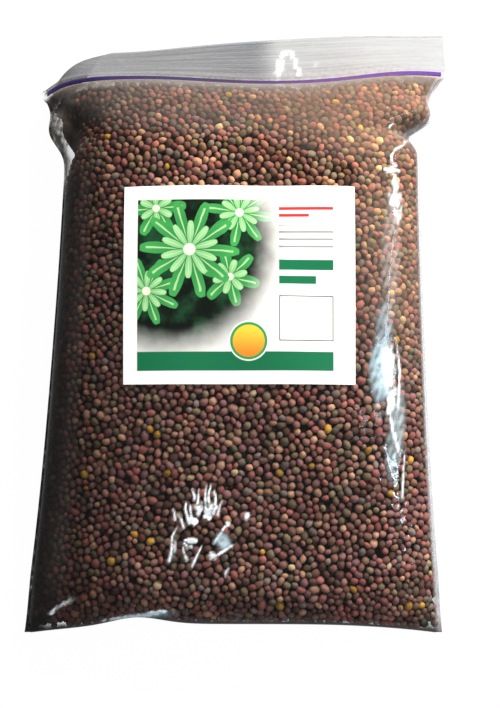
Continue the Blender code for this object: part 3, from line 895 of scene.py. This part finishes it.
def makeLabelMaterial():
    material, wire, shader = newMaterial("printedPaper", label["paper"], 0.45)
    place = objectPlace(wire)
    x, y = planPlace(wire, place)
    x = (x - label["centre"][0]) / label["width"]
    y = (y - label["centre"][1]) / label["width"]
    paper = (*label["paper"], 1)
    edge = label["edge"]
    shade = noise(wire, place, label["mottle"], 3.0)

    def box(left, right, low, high):
        acrossIt = x.over(left - edge, left + edge) * (1.0 - x.over(right - edge, right + edge))
        return acrossIt * y.over(low - edge, low + edge) * (1.0 - y.over(high - edge, high + edge))

    def within(distance, limit, soft=edge):
        return 1.0 - distance.over(limit - soft, limit + soft)

    def polar(cx, cy):
        dx, dy = x - cx, y - cy
        return (dx * dx + dy * dy) ** 0.5, dy.maths("ARCTAN2", dy, dx)

    def whorl(colour, radius, turned, size, inks):  # one ring of leaves, lighter towards their tips
        reach = turned.maths("COSINE", turned).absolute()
        leaf = within(radius / (reach + 0.03), size, 0.006) * within(radius, size)
        green = (radius * (0.7 / size) + shade * 0.4).clamped().blend(*inks)
        colour = leaf.blend(colour, green)
        start, full, end = (size * share for share in label["ribAlong"])
        rib = reach.over(*label["ribAcross"]) * within(radius, end) * radius.over(start, full)
        return (rib * 0.8).blend(colour, label["ribInk"])

    cx, cy, reach, soft = label["ground"]
    radius, _ = polar(cx, cy)
    printed = shade.over(0.35, 0.75).blend(*label["groundInks"])
    outer, inner, eye = label["rings"]
    for cx, cy, size, pairs, turn in label["rosettes"]:
        away, angle = polar(cx, cy)
        turned = (angle + turn) * float(pairs) + shade * 0.5
        printed = whorl(printed, away, turned, size * outer, label["outerInks"])
        printed = whorl(printed, away, turned + math.pi / 2, size * inner, label["innerInks"])
        printed = within(away, size * eye).blend(printed, label["eyeInk"])
    colour = within(radius + shade * 0.04, reach, soft).blend(paper, printed)
    colour = box(*label["area"]).blend(paper, colour)

    for left, right, low, high, ink in label["bars"]:
        colour = box(left, right, low, high).blend(colour, ink)
    rules = label["rules"]
    row = (y - rules["area"][2]) / rules["step"]
    line = within((row.maths("FRACT", row) - 0.5).absolute(), rules["thick"] / rules["step"], 0.05)
    colour = (line * box(*rules["area"]) * 0.8).blend(colour, rules["ink"])
    (left, right, low, high), thick = label["frame"]["area"], label["frame"]["thick"]
    border = box(left, right, low, high) * (1.0 - box(left + thick, right - thick, low + thick, high - thick))
    colour = border.blend(colour, label["frame"]["ink"])
    cx, cy, size = label["badge"]
    radius, _ = polar(cx, cy)
    ring, disc = label["badgeRings"]
    ringInk, lowInk, highInk = label["badgeInks"]
    colour = within(radius, size).blend(colour, paper)
    colour = within(radius, size * ring).blend(colour, ringInk)
    colour = within(radius, size * disc).blend(colour, y.over(cy - size, cy + size).blend(lowInk, highInk))
    grain = bump(wire, noise(wire, place, label["grain"], 3.0), label["grainDepth"], 0.4)
    # the label glows in its own colours: painted light
    feed(wire, shader, Base_Color=colour, Emission_Color=colour, Normal=grain)
    shader.inputs["Emission Strength"].default_value = label["paintedPaperGlow"]
    return material


# The zip: a channel on the front panel and a rib on the back one, each profile as (along, through)
zipStrips = {
    "unit": 0.00050,
    "reach": 0.99,
    "stations": 90,
    "colour": (0.16, 0.045, 0.42),
    "colours": ((0.040, 0.015, 0.16, 1), (0.12, 0.022, 0.36, 1)),  # at the left and the right
    "change": (-0.01, 0.035),
    "grain": 800.0,
    "grainDepth": 0.0001,
    "channel": [
        (-1.3, 1.15), (-1.3, -0.45), (-1.15, -0.6), (-0.55, -0.6), (-0.55, -0.25), (-0.9, -0.1), (-0.9, 0.7),
        (0.9, 0.7), (0.9, -0.1), (0.55, -0.25), (0.55, -0.6), (1.15, -0.6), (1.3, -0.45), (1.3, 1.15),
    ],
    "rib": [
        (-1.3, -0.8), (-1.3, -1.15), (1.3, -1.15), (1.3, -0.8), (0.35, -0.75), (0.3, -0.05),
        (0.72, 0.05), (0.66, 0.25), (0.0, 0.55), (-0.66, 0.25), (-0.72, 0.05), (-0.3, -0.05), (-0.35, -0.75),
    ],
}


def zipPlace(u):
    return u * float(openHalf(1.0, u < 0)) + lean(1.0), float(zipY(u)), float(zipZ(u))


def makeZipStrip(name, profile, material, node):
    places = [zipPlace(u) for u in np.linspace(-1, 1, zipStrips["stations"]) * zipStrips["reach"]]
    strip = addPiece(name, bpy.ops.mesh.primitive_circle_add, vertices=len(profile), fill_type="NGON")
    x, y, z = places[0]
    unit = zipStrips["unit"]
    for vertex, (along, through) in zip(strip.data.vertices, profile):
        vertex.co = (x, y + along * unit, z + through * unit)
    bpy.ops.object.mode_set(mode="EDIT")
    bpy.ops.mesh.select_all(action="SELECT")
    for start, end in zip(places, places[1:]):
        step = tuple(e - s for s, e in zip(start, end))
        bpy.ops.mesh.extrude_region_move(TRANSFORM_OT_translate={"value": step})
    faceOutward()
    shadeSmooth(strip, 35)
    finishPiece(strip, material, "violet_zip", node)


def makeZipMaterial():
    material, wire, shader = newMaterial("violetZip", zipStrips["colour"], 0.3)
    place = objectPlace(wire)
    x, _ = planPlace(wire, place)
    colour = x.over(*zipStrips["change"]).blend(*zipStrips["colours"])
    grain = bump(wire, noise(wire, place, zipStrips["grain"]), zipStrips["grainDepth"], 0.3)
    feed(wire, shader, Base_Color=colour, Normal=grain)
    return material


# The seeds: two layers packed against the film all round, over a dark core
filling = {
    "radius": 0.00146,
    "spread": 0.00020,
    "least": 0.00108,
    "most": 0.00200,
    "start": 0.0010,  # the filling's distance from the fold and from the zip
    "end": 0.0040,
    "zipRoom": 0.0032,
    "areaEach": 0.0000074,
    "deepAreaEach": 0.0000100,
    "deepLayer": 0.0023,
    "jitter": 0.0013,
    "firstDepth": 0.0003,
    "rows": 150,
    "around": 400,
    "profilePoints": 500,
    "sectionPoints": 241,
    "pinch": 0.0085,  # how far the seeds stay out of the slack film at the upper left
    "pinchPlace": 0.925,
    "pinchBelow": 0.052,
    "pinchAbove": 0.028,
    "pinchStart": 0.03,
    # packing, in seed radii where it is a distance
    "rounds": 48,
    "regroup": 6,  # rounds between one search for neighbours and the next
    "reach": 2.6,
    "standOff": 1.03,
    "touch": 0.96,
    "push": 0.42,
    "settle": 0.12,
    "filmRoom": 0.90,
    "sideRoom": 0.60,
    "endRoom": 1.2,
    "crowdReach": 1.4,
    "crowded": 0.66,
    "rest": 0.0001,  # height of the lowest seed
}


def walkedAlong(points):  # the way walked from the first point to each
    return np.concatenate([[0], np.cumsum(np.linalg.norm(np.diff(points, axis=0), axis=1))])


def fillingTable():
    # the inside of the film as rows of points evenly spaced round it, each with its way in
    inner = film["outer"] - film["wall"]
    length = float(bodyLength(0.0))
    shares = np.linspace(filling["start"], length - filling["end"], filling["profilePoints"]) / length
    profile = panelPoint(np.zeros(len(shares)), shares, 1, inner)
    walked = walkedAlong(profile)
    rows = np.interp(np.linspace(0, walked[-1], filling["rows"]), walked, shares)
    across = np.sin(np.linspace(-1, 1, filling["sectionPoints"]) * math.pi / 2)
    table = np.empty((len(rows), filling["around"], 3))
    for k, v in enumerate(rows):
        front = panelPoint(across, v, 1, inner, film["zipGap"])
        front[:, 2] += relief(front[:, 0], front[:, 1], film["dents"])
        back = panelPoint(across[::-1], v, -1, inner, film["zipGap"])
        loop = np.vstack([front, back[1:-1], front[:1]])
        left = ramp(-loop[:, 0], filling["pinchStart"], filling["pinchStart"])
        spread = filling["pinchBelow"] if v < filling["pinchPlace"] else filling["pinchAbove"]
        loop[:, 0] += filling["pinch"] * bell(v, filling["pinchPlace"], spread) * left
        steps = walkedAlong(loop)
        wanted = np.linspace(0, steps[-1], filling["around"], endpoint=False)
        table[k] = np.stack([np.interp(wanted, steps, loop[:, i]) for i in range(3)], axis=-1)
    around = np.roll(table, -1, axis=1) - np.roll(table, 1, axis=1)
    along = np.gradient(table, axis=0)
    inward = np.cross(along, around)
    inward /= np.linalg.norm(inward, axis=-1)[..., None]
    return table, inward, around / 2 * filling["around"], along * (len(rows) - 1), walked[-1]


def lookUp(fields, s, t):
    # each field of the table at shares s round the bag and t along it
    rows, around = fields[0].shape[:2]
    i = s * around
    j = np.clip(t, 0, 1) * (rows - 1)
    i0 = np.floor(i).astype(int)
    j0 = np.minimum(np.floor(j).astype(int), rows - 2)
    fi, fj = (i - i0)[:, None], (j - j0)[:, None]
    i0 %= around
    i1 = (i0 + 1) % around
    return [(f[j0, i0] * (1 - fi) + f[j0, i1] * fi) * (1 - fj)
            + (f[j0 + 1, i0] * (1 - fi) + f[j0 + 1, i1] * fi) * fj for f in fields]


def treeOf(places):
    tree = kdtree.KDTree(len(places))
    for k, place in enumerate(places):
        tree.insert(place, k)
    tree.balance()
    return tree


def neighbours(places, reach):
    tree = treeOf(places)
    first, second = [], []
    for k, place in enumerate(places):
        for _, other, _ in tree.find_range(place, reach):
            if other > k:
                first.append(k)
                second.append(other)
    return np.array(first), np.array(second)


def seedPlaces(draw, girth, length):
    # shares round and along the bag, in staggered rows that are then jittered, and the layer
    s, t, layer = [], [], []
    for deep, each in enumerate((filling["areaEach"], filling["deepAreaEach"])):
        step = math.sqrt(each * 2 / math.sqrt(3))
        rowCount = round(length / (step * math.sqrt(3) / 2))
        perRow = round(girth / step)
        for k in range(rowCount):
            s.append((np.arange(perRow) + 0.5 * (k % 2)) / perRow)
            t.append(np.full(perRow, (k + 0.5) / rowCount))
            layer.append(np.full(perRow, deep))
    s, t, layer = np.concatenate(s), np.concatenate(t), np.concatenate(layer)
    s = (s + draw.normal(0, filling["jitter"] / girth, len(s))) % 1
    t = np.clip(t + draw.normal(0, filling["jitter"] / length, len(t)), 0, 1)
    return s, t, layer


def settle(fields, s, t, depth, rest, radius):
    # pushes seeds that overlap apart, and lets them sink back towards the film
    count = len(s)
    for k in range(filling["rounds"]):
        place, way, ts, tt = lookUp(fields, s, t)
        centre = place + way * depth[:, None]
        if k % filling["regroup"] == 0:
            first, second = neighbours(centre, filling["reach"] * filling["radius"])
        gap = centre[first] - centre[second]
        distance = np.maximum(np.linalg.norm(gap, axis=1), 1e-6)
        overlap = np.maximum((radius[first] + radius[second]) * filling["touch"] - distance, 0)
        push = gap * (overlap / distance * filling["push"])[:, None]
        move = np.stack([np.bincount(first, push[:, i], count) - np.bincount(second, push[:, i], count)
                         for i in range(3)], axis=1)
        s = (s + (move * ts).sum(1) / (ts * ts).sum(1)) % 1
        t = np.clip(t + (move * tt).sum(1) / (tt * tt).sum(1), 0, 1)
        depth = depth + (move * way).sum(1)
        depth = np.maximum(rest, depth - filling["settle"] * (depth - rest))
    place, way = lookUp(fields, s, t)[:2]
    return place + way * depth[:, None]


def packSeeds():
    draw = np.random.default_rng(11)
    table, inward, around, along, length = fillingTable()
    girth = np.linalg.norm(around[len(around) // 2], axis=-1).mean()
    s, t, layer = seedPlaces(draw, girth, length)
    radius = draw.normal(filling["radius"], filling["spread"], len(s))
    radius = np.clip(radius, filling["least"], filling["most"])
    rest = radius * filling["standOff"] + layer * filling["deepLayer"]
    depth = rest + draw.uniform(0, filling["firstDepth"], len(s))
    centre = settle([table, inward, around, along], s, t, depth, rest, radius)
    # seeds that the film would cut go, and so does one of any two that share their place
    skin = table.reshape(-1, 3)
    tree = treeOf(skin)
    nearest = np.array([tree.find(c)[1] for c in centre])
    way = inward.reshape(-1, 3)[nearest]
    room = ((centre - skin[nearest]) * way).sum(1)
    around, fromEnds = clearance(centre)
    keep = (room > radius * filling["filmRoom"]) & (around > radius * filling["sideRoom"])
    keep &= fromEnds > radius * filling["endRoom"]
    first, second = neighbours(centre, filling["crowdReach"] * filling["radius"])
    distance = np.linalg.norm(centre[first] - centre[second], axis=1)
    for a, b, d in zip(first, second, distance):
        if keep[a] and keep[b] and d < filling["crowded"] * (radius[a] + radius[b]):
            keep[b] = False
    print("seeds packed", int(keep.sum()), "of", len(keep))
    packed = {"centre": centre, "radius": radius, "way": way, "room": room}
    return {key: values[keep] for key, values in packed.items()}, layer[keep] > 0


def clearance(centre):  # the room round each point: to the panels and seals, and to the fold and zip
    x, y, z = centre.T
    u, v = sharesAt(x, y)
    inner = film["outer"] - film["wall"]
    over = panelPoint(u, v, 1, inner, film["zipGap"])[..., 2] + relief(x, y, film["dents"]) - z
    under = z - panelPoint(u, v, -1, inner, film["zipGap"])[..., 2]
    side = (1 - np.abs(u)) * openHalf(v, x < 0)
    ends = np.minimum(v * bodyLength(u), (1 - v) * bodyLength(u) - filling["zipRoom"])
    return np.minimum.reduce([over, under, side]), ends


# Each seed is a slightly flattened, lopsided ball, with a blunter end and a shallow dent beside it
seeds = {
    "stretch": (1.34, 0.97, 0.88),
    "blunt": 0.10,
    "flat": 0.08,
    "dent": 0.06,
    "unlike": 0.07,  # how much the seeds differ in form
    "fineSides": (8, 5),
    "coarseSides": (5, 3),
    # colours, with the share of the seeds that has each
    "colours": {
        "seedsBrown": ((0.270, 0.138, 0.110), 0.20),
        "seedsRose": ((0.300, 0.112, 0.095), 0.16),
        "seedsUmber": ((0.150, 0.078, 0.062), 0.18),
        "seedsMauve": ((0.245, 0.120, 0.118), 0.16),
        "seedsOlive": ((0.200, 0.150, 0.094), 0.11),
        "seedsGrey": ((0.200, 0.152, 0.132), 0.07),
        "seedsTan": ((0.420, 0.235, 0.158), 0.12),
        "seedsCream": ((0.600, 0.410, 0.250), 0.008),
        "seedsYellow": ((0.600, 0.310, 0.060), 0.008),
    },
    # each seed lies between a dark and a light share of its colour, and is tinted by its place with painted
    # light and shade
    "dark": 0.45,
    "light": 1.75,
    "lightest": 0.95,  # the most that any channel comes to
    "paintedShade": 0.10,
    "facing": (-0.35, 0.85),  # painted shade: each seed darkens away from the film, towards the gaps
    "warm": {"over": (0.0, 0.12), "share": 0.9, "tint": (1.12, 1.0, 0.70, 1)},
    "left": {"over": (0.022, 0.068), "share": 0.75, "tint": (0.26, 0.22, 0.20, 1)},
    "upper": {"over": (0.045, 0.085), "share": 0.40, "tint": (0.50, 0.44, 0.42, 1)},
    "rightLessShade": {"over": (0.0, 0.05), "share": 0.38},
    "mottle": 900.0,  # texture scales
    "pits": 2600.0,
    "pitDepth": 0.00012,
    "toneShare": 0.75,
    "mottleShare": 0.35,
    "roughness": (0.42, 0.25),  # its least, and what the mottle adds
    # the deep layer's colour, painted darker as shade
    "deepShadeColour": (0.10, 0.055, 0.042),
}


def makeSeedShape(name, segments, rings):
    seed = addPiece(name, bpy.ops.mesh.primitive_uv_sphere_add, segments=segments, ring_count=rings)
    bpy.ops.object.mode_set(mode="EDIT")
    bpy.ops.mesh.select_all(action="SELECT")
    bpy.ops.mesh.quads_convert_to_tris()
    bpy.ops.transform.resize(value=seeds["stretch"])
    bpy.ops.object.mode_set(mode="OBJECT")
    for vertex in seed.data.vertices:
        x, y, z = vertex.co
        vertex.co.x = x * (1 - seeds["blunt"] * max(x, 0))
        vertex.co.z = z * (1 - seeds["flat"] * max(x, 0)) - seeds["dent"] * x * x
    points = np.array([v.co[:] for v in seed.data.vertices])
    faces = np.array([list(p.vertices) for p in seed.data.polygons])
    bpy.data.objects.remove(seed)
    return points, faces


def turns(count, draw):
    q = draw.normal(size=(count, 4))
    w, x, y, z = (q / np.linalg.norm(q, axis=1)[:, None]).T
    return np.stack([
        np.stack([1 - 2 * (y * y + z * z), 2 * (x * y - z * w), 2 * (x * z + y * w)], axis=-1),
        np.stack([2 * (x * y + z * w), 1 - 2 * (x * x + z * z), 2 * (y * z - x * w)], axis=-1),
        np.stack([2 * (x * z - y * w), 2 * (y * z + x * w), 1 - 2 * (x * x + y * y)], axis=-1),
    ], axis=1)


def copySeeds(name, shape, packed, chosen, draw, material):
    points, faces = shape
    centre, radius, way, room = (packed[key][chosen] for key in ("centre", "radius", "way", "room"))
    count = len(centre)
    stretch = draw.normal(1.0, seeds["unlike"], (count, 1, 3))
    local = points[None] * stretch * radius[:, None, None]
    turned = np.einsum("nij,nkj->nki", turns(count, draw), local)
    # a long seed that stands on end moves in by as much as it would push out of the film
    reach = -np.einsum("nki,ni->nk", turned, way).min(axis=1)
    centre = centre + way * np.maximum(reach - room, 0.0)[:, None]
    placed = turned + centre[:, None, :]
    placed[..., 2] += np.maximum(filling["rest"] - placed[..., 2].min(axis=1), 0.0)[:, None]
    allFaces = faces[None] + (np.arange(count) * len(points))[:, None, None]
    mesh = bpy.data.meshes.new(name)
    mesh.from_pydata(placed.reshape(-1, 3), [], allFaces.reshape(-1, 3).tolist())
    piece = bpy.data.objects.new(name, mesh)
    bpy.context.scene.collection.objects.link(piece)
    setAttribute(piece, "tone", np.repeat(draw.uniform(0, 1, count), len(points)))
    outward = -np.einsum("nki,ni->nk", turned, way) / radius[:, None]
    setAttribute(piece, "outward", outward.ravel())
    shadeSmooth(piece)
    finishPiece(piece, material, "radish_seed", "seeds")


def makeSeedMaterial(name, colour):
    material, wire, shader = newMaterial(name, colour, 0.5, specular=0.18)
    place = objectPlace(wire)
    tone = attribute(wire, "tone")
    mottle = noise(wire, place, seeds["mottle"], 3.0, 0.6)
    depth = (tone * seeds["toneShare"] + mottle * seeds["mottleShare"] - 0.05).clamped()
    dark, light, paintedShade = ((*(min(c * seeds[share], seeds["lightest"]) for c in colour), 1)
                            for share in ("dark", "light", "paintedShade"))
    outward = attribute(wire, "outward").over(*seeds["facing"])
    face = outward.blend(paintedShade, depth.blend(dark, light))
    # painted light, yellower towards the upper right, and painted shade over the left side and the top
    x, y = planPlace(wire, place)
    right = x.over(*seeds["rightLessShade"]["over"]) * seeds["rightLessShade"]["share"]
    warm, left, upper = (seeds[name] for name in ("warm", "left", "upper"))
    face = ((x + y).over(*warm["over"]) * warm["share"]).tinted(face, warm["tint"])
    face = ((0.0 - x).over(*left["over"]) * left["share"]).tinted(face, left["tint"])
    face = (y.over(*upper["over"]) * (upper["share"] - right)).tinted(face, upper["tint"])
    pits = noise(wire, place, seeds["pits"], 2.0)
    least, most = seeds["roughness"]
    feed(wire, shader, Base_Color=face, Roughness=least + mottle * most,
         Normal=bump(wire, pits + mottle, seeds["pitDepth"], 0.5))
    return material


def makeSeeds():
    draw = np.random.default_rng(5)
    packed, deep = packSeeds()
    fine = makeSeedShape("seedShape", *seeds["fineSides"])
    shares = np.array([share for _, share in seeds["colours"].values()])
    kind = draw.choice(len(shares), len(deep), p=shares / shares.sum())
    for k, (name, (colour, _)) in enumerate(seeds["colours"].items()):
        copySeeds(name, fine, packed, (kind == k) & ~deep, draw, makeSeedMaterial(name, colour))
    coarse = makeSeedShape("deepSeedShape", *seeds["coarseSides"])
    # the deep layer in a darker colour: painted shade between the seeds on top
    deepShaded = makeSeedMaterial("seedsDeepShaded", seeds["deepShadeColour"])
    copySeeds("seedsDeepShaded", coarse, packed, deep, draw, deepShaded)


# The core under the deep seeds, painted near-black as the shade deep in the filling
core = {
    "depth": 0.0042,
    "segments": 96,
    "rings": 64,
    "end": 0.975,  # its end under the zip, and its length, as shares of the bag's
    "length": 0.95,
    "colour": (0.03, 0.018, 0.013),
    "lumps": 330.0,  # texture scale
    "lumpColours": ((0.015, 0.009, 0.007, 1), (0.05, 0.03, 0.02, 1)),
}


def makeCore():
    ball = addPiece("seedCore", bpy.ops.mesh.primitive_uv_sphere_add,
                    segments=core["segments"], ring_count=core["rings"])
    co = np.array([v.co[:] for v in ball.data.vertices])
    polar = np.arccos(np.clip(co[:, 2], -1, 1)) / math.pi
    v = core["end"] - core["length"] * polar
    fromAxis = np.hypot(co[:, 0], co[:, 1])
    u = np.where(fromAxis > 1e-6, co[:, 0] / np.maximum(fromAxis, 1e-6), 0)
    front, back = (panelPoint(u, v, side, -core["depth"]) for side in (1, -1))
    placed = np.where((co[:, 1] > 0)[:, None], front, back)
    between = np.abs(co[:, 1]) < 1e-6
    placed[between] = ((front + back) / 2)[between]
    ball.data.vertices.foreach_set("co", placed.ravel())
    ball.data.update()
    faceOutward()
    shadeSmooth(ball)
    material, wire, shader = newMaterial("coreShade", core["colour"], 0.8)
    lumps = noise(wire, objectPlace(wire), core["lumps"], 2.0)
    feed(wire, shader, Base_Color=lumps.blend(*core["lumpColours"]))
    finishPiece(ball, material, "radish_seed", "seeds")


# Floor, light and camera
studio = {
    "key": {"place": (0.190, 0.340, 0.210), "aim": (0.03, 0.03, 0.02), "size": (0.16, 0.14), "power": 4.0,
            "colour": (1.0, 0.93, 0.83)},
    "side": {"place": (0.330, -0.040, 0.120), "aim": (0.06, -0.01, 0.015), "size": (0.20, 0.16), "power": 0.2,
             "colour": (1.0, 0.95, 0.88)},
    "fill": {"place": (0.000, -0.060, 0.330), "aim": (0.0, -0.05, 0.0), "size": (0.20, 0.20), "power": 0.18,
             "colour": (1.0, 0.98, 0.95)},
    # narrow panels that only glint in the film: from end to end, width, power
    "panels": {
        "windowPanel": ((0.212, -0.016, 0.196), (0.212, -0.076, 0.200), 0.075, 0.08),
        "upperPanel": ((0.265, 0.110, 0.125), (0.225, 0.000, 0.190), 0.012, 0.06),
        "lowerPanel": ((0.218, -0.085, 0.190), (0.236, -0.120, 0.170), 0.012, 0.03),
    },
    "panelAim": (0.03, 0.01, 0.02),
    "panelColour": (0.82, 0.92, 1.0),
    # the world and the floor look white, and light the bag less than that
    "worldStrength": 0.08,
    "worldSeen": 0.95,
    "floorGlow": 0.12,
    "floorSeen": 0.98,
    "floorSize": 3.0,
    "floorDrop": 0.0003,
    "cameraPlace": (0.00429, -0.04704, 0.37088),
    "cameraTilt": math.radians(5.76),
    "lens": 50,
    "sensor": 36,
    "nearest": 0.01,
}


def seenOr(wire, seen, lighting):
    return wire.get("Is Camera Ray", "ShaderNodeLightPath") * (seen - lighting) + lighting


def makeLamp(name, place, size, power, colour):
    bpy.ops.object.light_add(type="AREA", location=place)
    lamp = bpy.context.object
    lamp.name = name
    lamp.data.shape = "RECTANGLE"
    lamp.data.size, lamp.data.size_y = size
    lamp.data.energy = power
    lamp.data.color = colour
    return lamp


def makeStudio():
    floor = addPiece("floor", bpy.ops.mesh.primitive_plane_add,
                     size=studio["floorSize"], location=(0, 0, -studio["floorDrop"]))
    material, wire, shader = newMaterial("paleFloor", (0.05, 0.05, 0.05), 0.7, specular=0.0)
    shader.inputs["Emission Color"].default_value = (1, 1, 1, 1)
    feed(wire, shader, Emission_Strength=seenOr(wire, studio["floorSeen"], studio["floorGlow"]))
    floor.data.materials.append(material)
    for name in ("key", "side", "fill"):
        soft = studio[name]
        lamp = makeLamp(name + "Light", soft["place"], soft["size"], soft["power"], soft["colour"])
        lamp.rotation_euler = (lamp.location - Vector(soft["aim"])).to_track_quat("Z", "Y").to_euler()
        lamp.visible_glossy = False  # the film mirrors the panels alone
    for name, (start, end, width, power) in studio["panels"].items():
        start, end = Vector(start), Vector(end)
        middle = (start + end) / 2
        lamp = makeLamp(name, middle, (width, (end - start).length), power, studio["panelColour"])
        long = (end - start).normalized()
        across = long.cross(middle - Vector(studio["panelAim"])).normalized()
        lamp.rotation_euler = Matrix((across, long, across.cross(long))).transposed().to_euler()
    world = bpy.data.worlds.new("studio")
    world.use_nodes = True
    background = world.node_tree.nodes["Background"]
    background.inputs["Color"].default_value = (1, 1, 1, 1)
    wire = Wire(world.node_tree)
    feed(wire, background, Strength=seenOr(wire, studio["worldSeen"], studio["worldStrength"]))
    bpy.context.scene.world = world
    bpy.context.scene.view_settings.view_transform = "Standard"
    bpy.ops.object.camera_add(location=studio["cameraPlace"], rotation=(studio["cameraTilt"], 0, 0))
    camera = bpy.context.object
    camera.data.lens = studio["lens"]
    camera.data.sensor_width = studio["sensor"]
    camera.data.clip_start = studio["nearest"]
    bpy.context.scene.camera = camera
    print("floor, lights and camera placed")


makeStudio()
makeSeeds()
makeCore()
makeFilm(makeFilmMaterial())
zipMaterial = makeZipMaterial()
makeZipStrip("zipChannel", zipStrips["channel"], zipMaterial, "zip_channel")
makeZipStrip("zipRib", zipStrips["rib"], zipMaterial, "zip_rib")
makeLabel()
